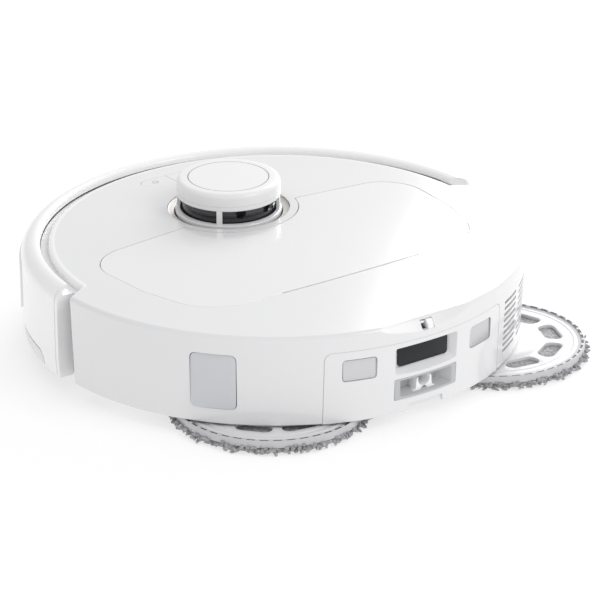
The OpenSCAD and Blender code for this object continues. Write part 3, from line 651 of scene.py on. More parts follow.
@dataclass(frozen=True)
class Metal(Finish):
    """Brushed or plated metal, its fine scratches drawn along one direction."""

    stretch: tuple[float, float, float] = (1.0, 1.0, 14.0)

    def build(self, tree: bpy.types.NodeTree) -> None:
        """Fills the node tree.

        Args:
            tree: the material's node tree.
        """
        shader = tree.nodes["Principled BSDF"]
        shader.inputs["Metallic"].default_value = 1.0
        at = tree.nodes.new("ShaderNodeTexCoord")
        lay = tree.nodes.new("ShaderNodeMapping")
        lay.inputs["Scale"].default_value = self.stretch
        lines = tree.nodes.new("ShaderNodeTexNoise")
        lines.inputs["Scale"].default_value = self.grain
        lines.inputs["Detail"].default_value = 4
        tree.links.new(at.outputs["Object"], lay.inputs["Vector"])
        tree.links.new(lay.outputs["Vector"], lines.inputs["Vector"])
        self.colouring(tree, shader, lines)
        self.roughening(tree, shader, lines)
        self.bumping(tree, shader, lines.outputs["Fac"], SCRATCH_DEPTH)


@dataclass(frozen=True)
class Looped(Finish):
    """Looped microfibre: darker between the knots as painted shade, random darker patches, a soft sheen and a
    knotted surface.
    """

    def build(self, tree: bpy.types.NodeTree) -> None:
        """Fills the node tree.

        Args:
            tree: the material's node tree.
        """
        shader = tree.nodes["Principled BSDF"]
        shader.inputs["Sheen Weight"].default_value = 0.35
        shader.inputs["Sheen Roughness"].default_value = 0.6
        shader.inputs["Roughness"].default_value = 0.95
        shader.inputs["Specular IOR Level"].default_value = 0.2
        at = tree.nodes.new("ShaderNodeTexCoord")
        knots = tree.nodes.new("ShaderNodeTexVoronoi")
        knots.inputs["Scale"].default_value = self.grain
        tree.links.new(at.outputs["Object"], knots.inputs["Vector"])
        # Darker towards the edges of each knot cell: painted shade between the loops; the cloud adds random
        # darker patches.
        ramp = tree.nodes.new("ShaderNodeValToRGB")
        ramp.color_ramp.elements[0].color = (*self.colour, 1)
        ramp.color_ramp.elements[0].position = 0.2
        ramp.color_ramp.elements[1].color = (*(c * (1 - self.drift) for c in self.colour), 1)
        ramp.color_ramp.elements[1].position = 0.85
        blend = tree.nodes.new("ShaderNodeMath")
        blend.operation = "ADD"
        cloud = self.noise(tree, self.grain / 5, 3)
        half = tree.nodes.new("ShaderNodeMath")
        half.operation, half.inputs[1].default_value = "MULTIPLY", 0.55
        tree.links.new(cloud.outputs["Fac"], half.inputs[0])
        tree.links.new(knots.outputs["Distance"], blend.inputs[0])
        tree.links.new(half.outputs["Value"], blend.inputs[1])
        tree.links.new(blend.outputs["Value"], ramp.inputs["Fac"])
        tree.links.new(ramp.outputs["Color"], shader.inputs["Base Color"])
        self.bumping(tree, shader, knots.outputs["Distance"], LOOP_DEPTH)


@dataclass(frozen=True)
class Clear(Finish):
    """Clear or smoked plastic with faint moulding streaks."""

    through: float = 0.85

    def build(self, tree: bpy.types.NodeTree) -> None:
        """Fills the node tree.

        Args:
            tree: the material's node tree.
        """
        super().build(tree)
        shader = tree.nodes["Principled BSDF"]
        shader.inputs["Transmission Weight"].default_value = self.through
        shader.inputs["IOR"].default_value = 1.49


@dataclass(frozen=True)
class Woven(Finish):
    """Two sets of threads or ribs crossing: mesh, pleated paper or cell wrap, darker between them as painted
    shade.
    """

    rib: Axis = Axis.Z
    # Colour of the painted shade in the valleys between the ribs.
    dark: tuple[float, float, float] = (0.02, 0.02, 0.02)

    def build(self, tree: bpy.types.NodeTree) -> None:
        """Fills the node tree.

        Args:
            tree: the material's node tree.
        """
        shader = tree.nodes["Principled BSDF"]
        shader.inputs["Roughness"].default_value = self.rough
        at = tree.nodes.new("ShaderNodeTexCoord")
        waves = []
        for way in (self.rib.value, "DIAGONAL"):
            wave = tree.nodes.new("ShaderNodeTexWave")
            wave.bands_direction = way
            wave.inputs["Scale"].default_value = self.grain
            wave.inputs["Distortion"].default_value = 0.4
            tree.links.new(at.outputs["Object"], wave.inputs["Vector"])
            waves.append(wave)
        both = tree.nodes.new("ShaderNodeMath")
        both.operation = "MAXIMUM"
        tree.links.new(waves[0].outputs["Fac"], both.inputs[0])
        tree.links.new(waves[1].outputs["Fac"], both.inputs[1])
        # The dark colour fills the valleys between the ribs: painted shade.
        mix = tree.nodes.new("ShaderNodeMix")
        mix.data_type = "RGBA"
        mix.inputs["A"].default_value = (*self.dark, 1)
        mix.inputs["B"].default_value = (*self.colour, 1)
        tree.links.new(both.outputs["Value"], mix.inputs["Factor"])
        tree.links.new(mix.outputs["Result"], shader.inputs["Base Color"])
        self.bumping(tree, shader, both.outputs["Value"], THREAD_DEPTH)


@dataclass(frozen=True)
class Board(Finish):
    """Circuit board: solder mask with lighter tracks in square cells."""

    def build(self, tree: bpy.types.NodeTree) -> None:
        """Fills the node tree.

        Args:
            tree: the material's node tree.
        """
        shader = tree.nodes["Principled BSDF"]
        shader.inputs["Roughness"].default_value = self.rough
        at = tree.nodes.new("ShaderNodeTexCoord")
        cells = tree.nodes.new("ShaderNodeTexBrick")
        cells.inputs["Scale"].default_value = self.grain
        cells.inputs["Mortar Size"].default_value = 0.06
        cells.inputs["Color1"].default_value = (*self.colour, 1)
        cells.inputs["Color2"].default_value = (*(c * 0.7 for c in self.colour), 1)
        cells.inputs["Mortar"].default_value = (0.10, 0.32, 0.17, 1)
        tree.links.new(at.outputs["Object"], cells.inputs["Vector"])
        tree.links.new(cells.outputs["Color"], shader.inputs["Base Color"])
        self.bumping(tree, shader, cells.outputs["Fac"], TRACK_DEPTH)


GLOSS_WHITE = Finish("gloss_white", (0.785, 0.785, 0.795),
                     rough=0.16, drift=0.015, grain=900, relief=0.02, coat=0.45)
LID_WHITE = Finish("lid_white", (0.81, 0.81, 0.82),
                   rough=0.15, drift=0.015, grain=900, relief=0.02, coat=0.45)
# Painted light: a lighter copy of the gloss white for the bumper skin, its sensor cover and the deck's front
# rim, standing in for the light they catch.
LIT_WHITE = Finish("lit_white", (0.90, 0.90, 0.905),
                      rough=0.18, drift=0.015, grain=900, relief=0.02, coat=0.4)
TRIM_WHITE = Finish("trim_white", (0.80, 0.80, 0.81), rough=0.34, drift=0.03, grain=2200, relief=0.06)
# Painted light: a much lighter white for the rear catch, which is trim white, and the filler spout, which is
# port grey, standing in for the light they catch where they stand out.
LIT_EDGE_WHITE = Finish("lit_edge_white", (0.92, 0.92, 0.92),
                    rough=0.28, drift=0.02, grain=1600, relief=0.03, coat=0.1)
CAP_WHITE = Finish("cap_white", (0.82, 0.82, 0.825),
                   rough=0.30, drift=0.02, grain=2600, relief=0.05, coat=0.1)
# Painted shade: a darker copy of the cap's gloss white for the skirt down in the well.
CAP_SHADE_GREY = Finish("cap_shade_grey", (0.72, 0.72, 0.73), rough=0.2, drift=0.03, grain=1600, relief=0.03, coat=0.4)
CHASSIS_GREY = Finish("chassis_grey", (0.60, 0.60, 0.62), rough=0.48, drift=0.08, grain=2600, relief=0.16)
# Painted shade: grey for the wall's end faces in the gap beside the bumper, which are gloss white.
GAP_SHADE_GREY = Finish("gap_shade_grey", (0.66, 0.66, 0.67), rough=0.55, drift=0.08, grain=2200, relief=0.12)
PORT_GREY = Finish("port_grey", (0.50, 0.51, 0.52), rough=0.42, drift=0.06, grain=2200, relief=0.08)
WINDOW_GREY = Finish("window_grey", (0.60, 0.61, 0.64),
                     rough=0.22, drift=0.03, grain=1200, relief=0.03, coat=0.25)
DARK_WINDOW = Finish("dark_window", (0.016, 0.017, 0.019),
                     rough=0.2, drift=0.25, grain=700, relief=0.02, coat=0.0, shine=0.3)
LASER_BLACK = Finish("laser_black", (0.035, 0.036, 0.04),
                     rough=0.16, drift=0.3, grain=900, relief=0.02, coat=0.4)
DARK_PLASTIC = Finish("dark_plastic", (0.045, 0.047, 0.05), rough=0.45, drift=0.2, grain=2400, relief=0.14)
RUBBER = Finish("rubber", (0.055, 0.057, 0.06), rough=0.72, drift=0.25, grain=1800, relief=0.3)
WELL_BEIGE = Finish("well_beige", (0.74, 0.71, 0.68),
                    rough=0.34, drift=0.05, grain=1800, relief=0.05, coat=0.1)
PLATE_WHITE = Finish("plate_white", (0.76, 0.76, 0.77), rough=0.36, drift=0.05, grain=2200, relief=0.07)
# Painted shade: a darker copy of the plate white for the mop ring and its bridges under the body.
RING_SHADE_GREY = Finish("ring_shade_grey", (0.58, 0.58, 0.60), rough=0.4, drift=0.06, grain=2200, relief=0.08)
# Dark grey for the print of the power sign, and painted shade in the bumper's seam and in the groove of the
# cap's ring line.
LINE_GREY = Finish("line_grey", (0.30, 0.30, 0.31), rough=0.5, drift=0.06, grain=2200, relief=0.08)
SMOKE = Clear("smoked_plastic", (0.20, 0.21, 0.22),
              rough=0.14, drift=0.1, grain=1200, relief=0.03, through=0.7)
TANK_CLEAR = Clear("tank_plastic", (0.78, 0.82, 0.86),
                   rough=0.22, drift=0.05, grain=1200, relief=0.05, through=0.75)
CONTACT_METAL = Metal("contact_metal", (0.66, 0.66, 0.68), rough=0.34, drift=0.12, grain=900, relief=0.05)
STEEL = Metal("steel", (0.58, 0.58, 0.60), rough=0.28, drift=0.15, grain=1500, relief=0.06)
# Its drift sets the depth of the painted shade between the loops.
MICROFIBRE = Looped("looped_microfibre", (0.62, 0.62, 0.64), rough=0.95, drift=0.5, grain=420, relief=0.6)
PAPER = Woven("filter_paper", (0.80, 0.79, 0.76),
              rough=0.9, drift=0.1, grain=500, relief=0.4, rib=Axis.Y, dark=(0.55, 0.54, 0.5))
CELL_WRAP = Woven("battery_wrap", (0.05, 0.10, 0.18),
                  rough=0.4, drift=0.1, grain=90, relief=0.1, rib=Axis.X, dark=(0.03, 0.07, 0.13))
MESH_GREY = Woven("exhaust_foam", (0.26, 0.26, 0.27), rough=0.9, drift=0.1, grain=300, relief=0.8)
CIRCUIT = Board("circuit_board", (0.02, 0.16, 0.08), rough=0.38, drift=0.1, grain=160, relief=0.3)


def finished(obj: Object, finish: Finish, slot: str, body: str, *nodes: str) -> Object:
    """Dresses a piece, makes it ride and hides the CAD nodes that it stands for.

    Args:
        obj: the piece.
        finish: its finish.
        slot: the record's material slot; not used.
        body: the CAD body that it rides on.
        *nodes: CAD nodes that it replaces.

    Returns:
        The same piece.
    """
    obj.data.materials.clear()
    obj.data.materials.append(finish.material())
    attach(obj, body)
    if nodes:
        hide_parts(*nodes)
    log.info("%s rides on %s", obj.name, body)
    return obj


# ------------------------------------------------------------------ shared body shape


@dataclass(frozen=True)
class BodyShape:
    """Outer form of the round body, shared by deck, lid, panel and buttons."""

    radius: float = 174.6
    draft: float = 2.2
    wall: float = 2.4
    bottom: float = 10.4
    edge_z: float = 75.0
    rise: float = 4.6
    edge_r: float = 3.2
    front_r: float = 159.4
    wall_half: float = 88.0

    @property
    def dome_r(self) -> float:
        """Radius of the sphere that the deck is part of."""
        return (self.radius ** 2 + self.rise ** 2) / (2 * self.rise)

    def dome(self, radius: float) -> float:
        """Height of the deck at a distance from the middle."""
        return self.edge_z + self.rise - self.dome_r + math.sqrt(self.dome_r ** 2 - radius ** 2)

    def dome_at(self, x: float, y: float) -> float:
        """Height of the deck at a point in plan."""
        return self.dome(math.hypot(x, y))

    @property
    def fillet(self) -> Flat:
        """Middle of the round between deck and wall."""
        r = self.radius - self.edge_r
        return (r, self.dome(r + 0.17) - self.edge_r * math.sin(math.radians(87)))

    def wall_r(self, z: float) -> float:
        """Outer radius of the wall at a height."""
        top = self.fillet[1]
        return self.radius - self.draft * (top - min(z, top)) / (top - self.bottom)

    def outer(self, rings: int = 14) -> list[Flat]:
        """Profile from the wall's bottom over the fillet to the deck's middle.

        Args:
            rings: rings of faces on the deck.

        Returns:
            Points of (radius, height).
        """
        c = self.fillet
        top = self.radius - self.edge_r - 1
        return ([(self.wall_r(self.bottom) - 0.8, self.bottom), (self.wall_r(self.bottom), self.bottom + 0.8)]
                + [(self.wall_r(z), z) for z in (25.0, 40.0, 55.0)]
                + bend(c, self.edge_r, -2, 87, 10)
                + [(top * (1 - i / rings), self.dome(top * (1 - i / rings))) for i in range(rings + 1)])

    def inner(self) -> list[Flat]:
        """Profile of the inside, from the middle back to the wall's bottom.

        Returns:
            Points of (radius, height).
        """
        top = self.radius - self.wall - 1.2
        deck = [(top * i / 6, self.dome(top * i / 6) - self.wall) for i in range(7)]
        r0 = self.wall_r(self.bottom) - self.wall
        return deck + [(top + 0.8, self.edge_z - self.wall - 0.9), (r0, self.bottom)]

    def normal(self, p: Vector) -> Optional[Vector]:
        """Normal of the outer surface at a point on it, or None off it.

        Args:
            p: the point in millimetres.

        Returns:
            The unit normal, or None.
        """
        r = math.hypot(p.x, p.y)
        c = self.fillet
        if r < 1e-6:
            return Vector((0, 0, 1))
        if r <= c[0] + 0.18:
            if abs(p.z - self.dome(r)) > 0.06:
                return None
            out, up = r / self.dome_r, math.sqrt(1 - (r / self.dome_r) ** 2)
        elif p.z > c[1] - 0.2:
            reach = Vector((r - c[0], p.z - c[1]))
            if abs(reach.length - self.edge_r) > 0.08:
                return None
            out, up = reach.normalized()
        else:
            if abs(r - self.wall_r(p.z)) > 0.12:
                return None
            out, up = 0.9994, -0.0358
        return Vector((p.x / r * out, p.y / r * out, up)).normalized()


BODY = BodyShape()


def domed_plate(name: str, outline: Sequence[Flat], edge: Sequence[Flat], grid: float = 9.0) -> Object:
    """Plate that follows the deck's dome, with a shaped rim.

    Args:
        name: piece name.
        outline: plan of the plate at its widest, anticlockwise.
        edge: (inset, depth) steps from the top face's rim to the bottom face's rim.
        grid: distance between the lines that let the faces follow the dome.

    Returns:
        The mesh object.
    """
    bm = bmesh.new()
    rings = []
    for inset, depth in edge:
        ring = grown(outline, -inset)
        rings.append([bm.verts.new((x * MM, y * MM, -depth * MM)) for x, y in ring])
    n = len(outline)
    for low, high in zip(rings, rings[1:]):
        for i in range(n):
            bm.faces.new((low[i], high[i], high[(i + 1) % n], low[(i + 1) % n]))
    bm.faces.new(rings[0])
    bm.faces.new(rings[-1][::-1])
    for axis in (0, 1):
        values = [p[axis] for p in outline]
        line = math.ceil(min(values) / grid) * grid
        while line < max(values):
            plane = [0.0, 0.0, 0.0]
            plane[axis] = 1.0
            spot = [c * line * MM for c in plane]
            geometry = bm.verts[:] + bm.edges[:] + bm.faces[:]
            bmesh.ops.bisect_plane(bm, geom=geometry, dist=1e-7, plane_co=spot, plane_no=plane)
            line += grid
    for v in bm.verts:
        v.co.z += BODY.dome_at(v.co.x / MM, v.co.y / MM) * MM
    mesh = bpy.data.meshes.new(name)
    bm.to_mesh(mesh)
    bm.free()
    return dressed_normals(tidy(linked(name, mesh)), BODY.normal, 12)


def soft_rim(radius: float, depth: float, steps: int = 4) -> list[Flat]:
    """Rim steps of a plate: a small round on top, then straight down."""
    turns = [math.radians(90 * i / steps) for i in range(steps + 1)]
    return [(radius * (1 - math.sin(t)), radius * (1 - math.cos(t))) for t in turns] + [(0.0, depth)]


# ------------------------------------------------------------------ studio


@dataclass
class Studio:
    """Camera, pale floor and soft light."""

    azimuth: float = 144.04
    elevation: float = 23.46
    distance: float = 2.40
    target: Spot = (0.00441, 0.03459, 0.040)
    lens: float = 207.06
    floor_half: float = 12.0
    floor_tone: float = 0.42
    floor_glow: float = 0.62
    sky_glow: float = 0.78

    def camera(self) -> None:
        """Makes the camera and sets it as the scene's own."""
        a, e = math.radians(self.azimuth), math.radians(self.elevation)
        back = Vector((math.sin(a) * math.cos(e), -math.cos(a) * math.cos(e), math.sin(e)))
        data = bpy.data.cameras.new("camera")
        data.lens, data.sensor_width = self.lens, 36.0
        data.clip_start, data.clip_end = 0.05, 100.0
        cam = bpy.data.objects.new("camera", data)
        cam.location = Vector(self.target) + back * self.distance
        cam.rotation_mode = "QUATERNION"
        cam.rotation_quaternion = (-back).to_track_quat("-Z", "Y")
        bpy.context.scene.collection.objects.link(cam)
        bpy.context.scene.camera = cam

    def floor(self) -> None:
        """Makes the pale floor, which glows a little so that it stays white."""
        h = self.floor_half / MM
        obj = solid("studio_floor", [(-h, -h, 0), (h, -h, 0), (h, h, 0), (-h, h, 0)], [(0, 1, 2, 3)])
        mat = bpy.data.materials.new("studio_floor")
        mat.use_nodes = True
        shader = mat.node_tree.nodes["Principled BSDF"]
        shader.inputs["Base Color"].default_value = (*(self.floor_tone,) * 3, 1)
        shader.inputs["Roughness"].default_value = 0.9
        shader.inputs["Specular IOR Level"].default_value = 0.0
        shader.inputs["Emission Color"].default_value = (1, 1, 1, 1)
        shader.inputs["Emission Strength"].default_value = self.floor_glow
        obj.data.materials.append(mat)

    def sky(self) -> None:
        """Makes an even sky."""
        world = bpy.data.worlds.new("studio_sky")
        world.use_nodes = True
        bpy.context.scene.world = world
        ground = world.node_tree.nodes["Background"]
        ground.inputs["Color"].default_value = (1.0, 1.0, 1.0, 1)
        ground.inputs["Strength"].default_value = self.sky_glow

    def lamp(self, name: str, azimuth: float, elevation: float, reach: float,
             size: Flat, power: float) -> None:
        """Adds a soft box that looks at the object.

        Args:
            name: its name.
            azimuth: direction as the camera's.
            elevation: height above the horizon.
            reach: distance in metres.
            size: width and height in metres.
            power: watts.
        """
        a, e = math.radians(azimuth), math.radians(elevation)
        back = Vector((math.sin(a) * math.cos(e), -math.cos(a) * math.cos(e), math.sin(e)))
        data = bpy.data.lights.new(name, "AREA")
        data.shape, data.size, data.size_y, data.energy = "RECTANGLE", size[0], size[1], power
        lamp = bpy.data.objects.new(name, data)
        lamp.location = Vector((0, 0, 0.05)) + back * reach
        lamp.rotation_mode = "QUATERNION"
        lamp.rotation_quaternion = (-back).to_track_quat("-Z", "Y")
        bpy.context.scene.collection.objects.link(lamp)

    def build(self) -> None:
        """Makes everything that isn't the object."""
        bpy.context.scene.view_settings.view_transform = "Standard"
        self.camera()
        self.floor()
        self.sky()
        self.lamp("far_box", azimuth=-62, elevation=24, reach=3.2, size=(2.2, 1.5), power=50)
        self.lamp("right_box", azimuth=205, elevation=40, reach=3.0, size=(1.2, 1.6), power=20)


# ------------------------------------------------------------------ housing


def lid_outline(grow: float = 0.0) -> list[Flat]:
    """Plan of the lid, anticlockwise, grown by a distance.

    Args:
        grow: distance by which every side moves outwards.

    Returns:
        Outline points, with the bay for the turret.
    """
    half_w, front, rear, rear_r, front_r = 134.0, -42.0, 91.0, 43.0, 30.0
    d = grow
    half = [(x, rear + d - x * x / 1900) for x in (0, 10, 20, 30, 40, 50, 60, 70)]
    half += arc((half_w - rear_r - 9, rear - rear_r - 3.5), rear_r + d, 4, 77, 16)
    half += [(half_w - 3 + d, rear / 3)]
    half += arc((half_w - front_r, front + front_r + 2), front_r + d, 88, 186, 16)
    edge_y = front - 1.5 - d
    bay = 50.0 - d
    turret_y = -58.0
    reach = math.degrees(math.acos((edge_y - turret_y) / bay))
    bay_points = arc((0, turret_y), bay, reach, -reach, 40)
    clockwise = half + bay_points + [(-x, y) for x, y in half[:0:-1]]
    return clockwise[::-1]


@dataclass
class Housing:
    """The glossy deck and wall, its rims, window, vents and catch."""

    button_at: Flat = (0.0, -132.0)
    button_size: Flat = (48.3, 15.0)
    turret_at: Flat = (0.0, -58.0)
    well_r: float = 43.7
    panel_half: float = 73.7
    panel_top: float = 62.0
    window_a: float = 49.5
    window_size: tuple[float, float, float] = (32.0, 21.5, 61.5)
    vents: tuple[tuple[float, float], ...] = ((-31.9, 24.0), (-42.2, 24.0))
    vent_rows: int = 9
    scoop: Flat = (6.0, 9.0)
    lid_gap: float = 0.45
    rim_inset: float = 2.9
    step_y: float = 12.3
    split_z: float = 70.2
    ledge_z: Flat = (70.65, 71.7)
    under_lid: float = 55

    def front_cut(self) -> list[Flat]:
        """Plan of what is cut from the deck round the front.

        Returns:
            Outline points.
        """
        reach, step = 215.0, self.step_y
        front = arc((0, 0), BODY.front_r - self.rim_inset, 91.4, 268.6, 150)
        corner = [(186.0, step), (161.0, -1.2), (159.3, -2.4)]
        other = [(-x, y) for x, y in corner[::-1]]
        side = [(-reach, step), (-reach, -reach), (reach, -reach)]
        return [(reach, step)] + corner + front + other + side

    def shell(self) -> Object:
        """Deck and wall with all their openings.

        Returns:
            The mesh object.
        """
        obj = turned("deck_and_wall", BODY.outer() + BODY.inner(), steps=360)
        corner = [(169.0, 68.0), (173.2, 68.0), (173.2, 73.4), (169.0, 73.4)]
        carved(obj, [rear_turned("corner", corner, -22, 22, 44)], Cut.ADD)
        wall_off = arc((0, 0), 230, BODY.wall_half, 360 - BODY.wall_half, 60) + [(0, 0)]
        under = self.under_lid
        well = [(0, under), (self.well_r, under), (self.well_r, OVER), (0, OVER)]
        keys = rounded(*self.button_size, 7.2, self.button_at, 10)
        cuts = [extruded("a", wall_off, -5, self.split_z),
                extruded("b", self.front_cut(), self.split_z, OVER),
                extruded("c", lid_outline(self.lid_gap), under, OVER),
                turned("d", well, at=(*self.turret_at, 0), steps=120),
                extruded("e", keys, under, OVER)]
        cuts.append(self.scoop_tool())
        z = (self.panel_top - 20) / 2
        opening = rounded(2 * self.panel_half + 0.7, self.panel_top + 20.35, 5.4, (0, z), 8)
        cuts.append(extruded("g", opening, *DEEP_REAR, Axis.Y))
        w, low, high = self.window_size
        cuts.append(wrapped("h", pad_columns(self.window_a, w, low, high, 4, 174), 164, 180))
        cuts.append(self.vent_tool())
        cuts.append(extruded("i", rounded(10.2, 6.4, 0.8, (0, self.split_z)), 160, 178, Axis.Y))
        carved(obj, cuts)
        return dressed_normals(obj, BODY.normal, 14)

    def scoop_tool(self) -> Object:
        """The slanted plane that bevels the rear edge.

        Returns:
            The cutting solid.
        """
        reach, drop = self.scoop
        tilt = -math.atan2(drop, reach)
        turn = Matrix.Rotation(tilt, 3, "X")
        y0, z0 = BODY.radius + 0.5, BODY.edge_z - drop
        box = [(x, y, z) for z in (0, 30) for y in (-30, 30) for x in (-60, 60)]
        points = [tuple(turn @ Vector(p) + Vector((0, y0, z0))) for p in box]
        faces = [(0, 1, 3, 2), (4, 6, 7, 5), (0, 4, 5, 1), (2, 3, 7, 6), (0, 2, 6, 4), (1, 5, 7, 3)]
        return solid("scoop", points, faces)

    def vent_tool(self) -> Object:
        """All exhaust slots as one tool.

        Returns:
            The cutting solid.
        """
        first, height, pitch = 20, 2.3, 41 / self.vent_rows
        slots = []
        for angle, width in self.vents:
            for i in range(self.vent_rows):
                z = first + i * pitch
                slots.append(wrapped("slot", pad_columns(angle, width, z, z + height, 1.1, 174, 3), 166, 180))
        return joined("vents", slots)

    def rim(self) -> Object:
        """The rounded white rim along the deck's front edge and its slanted ends, dressed lighter than the
        deck as a painted highlight.

        Returns:
            The mesh object.
        """
        r = BODY.front_r
        half = [(161.0, -1.0), (160.6, -1.9), (159.9, -3.0)]
        path = half + arc((0, 0), r, 91.7, 268.3, 150) + [(-x, y) for x, y in half[::-1]]
        profile = [(-4.9, -0.4), (-4.7, 0.03), (-3.0, 0.05), (-1.9, -0.2), (-1.0, -0.75), (-0.35, -1.6),
                   (0.0, -2.7), (0.0, -4.6), (-2.0, -4.8), (-4.7, -2.6)]
        rows = []
        count = len(path)
        for i, here in enumerate(path):
            ahead = Vector(path[min(i + 1, count - 1)]) - Vector(path[max(i - 1, 0)])
            out = Vector((ahead.y, -ahead.x)).normalized()
            if out.dot(Vector(here)) < 0:
                out = -out
            taper = min(1.0, 0.4 + min(i, count - 1 - i) * 0.2)
            row = []
            for d, z in profile:
                p = Vector(here) + out * d * taper
                row.append((p.x, p.y, BODY.dome_at(p.x, p.y) + z))
            rows.append(row)
        n = len(rows[0])
        points = [p for row in rows for p in row]
        return solid("deck_front_rim", points, bands(count, n) + ends(count, n), 50)

    def wall_ends(self) -> Object:
        """Closed ends of the wall beside the bumper, painted grey as the shade in the gap.

        Returns:
            The mesh object.
        """
        profile = [(164.3, 11.4), (171.2, 11.4), (173.3, 70.1), (164.3, 70.1)]
        ends = [rear_turned("end", profile, 86.9, 87.96, 2), rear_turned("end", profile, -87.96, -86.9, 2)]
        return joined("wall_ends", ends)

    def ledge(self) -> Object:
        """Pale ledge that closes the gap between the deck's front and the bumper.

        Returns:
            The mesh object.
        """
        end = [(170.8, 5.6), (170.8, 0.2), (165.6, 0.2), (164.4, -3.4)]
        outer = end + arc((0, 0), 164.45, 91.4, 268.6, 120) + [(-x, y) for x, y in end[::-1]]
        inner = [(-150.0, 5.6)] + arc((0, 0), 152.0, 268, 92, 80) + [(150.0, 5.6)]
        return extruded("gap_ledge", outer + inner, *self.ledge_z)

    def seat(self) -> Object:
        """Ledge under the lid's edge.

        Returns:
            The mesh object.
        """
        outer, inner = lid_outline(2.6), lid_outline(-4.0)
        ring = domed_plate("lid_seat", outer, [(0, 2.9), (0, 5.0)])
        return carved(ring, [extruded("inside", inner, 50, OVER)])

    def build(self) -> None:
        """Makes and dresses the housing."""
        finished(self.shell(), GLOSS_WHITE, "gloss_white", "body", "top_shell")
        # The rim is the deck's own edge, dressed lighter than the deck: a painted highlight.
        finished(self.rim(), LIT_WHITE, "gloss_white", "body")
        # Wall ends in grey: painted shade in the gap beside the bumper.
        finished(self.wall_ends(), GAP_SHADE_GREY, "gloss_white", "body")
        finished(self.ledge(), TRIM_WHITE, "gloss_white", "body")
        finished(self.seat(), TRIM_WHITE, "gloss_white", "body")
        w, low, high = self.window_size
        pane = wrapped("side_window_pane",
                       pad_columns(self.window_a, w - 0.9, low + 0.45, high - 0.45, 3.6, 174), 172.2, 173.9)
        finished(softened(pane, 0.35), WINDOW_GREY, "window_grey", "body", "side_window")
        hook = [(163.6, 60.8), (165.2, 60.8), (165.2, 69.0), (173.4, 64.6), (174.2, 65.2), (173.7, 69.2),
                (171.4, 72.9), (163.6, 72.9)]
        bar = [(163.6, 70.3), (169.8, 70.3), (170.4, 70.8), (170.2, 72.1), (163.6, 72.5)]
        tab = softened(extruded("tab", hook, -4.5, 0.3, Axis.X), 0.35)
        catch = joined("rear_catch", [tab, softened(extruded("bar", bar, 1.2, 4.5, Axis.X), 0.3)])
        # The catch is dressed lighter than its trim white: painted light.
        finished(catch, LIT_EDGE_WHITE, "trim_white", "body", "rear_clip")


@dataclass
class Lid:
    """The lid over bin and tank, with its finger groove."""

    def build(self) -> None:
        """Makes and dresses the lid."""
        outline = lid_outline(0)
        lid = domed_plate("lid_panel", outline, soft_rim(0.5, 2.2))
        groove = [(x, 90.2 - x * x / 1900) for x in range(-58, 59, 4)]
        tool = extruded("groove", groove + [(60, OVER), (-60, OVER)], 60, OVER)
        carved(lid, [tool])
        dressed_normals(lid, BODY.normal, 12)
        finished(lid, LID_WHITE, "gloss_white", "lid", "lid")


# ------------------------------------------------------------------ dock face


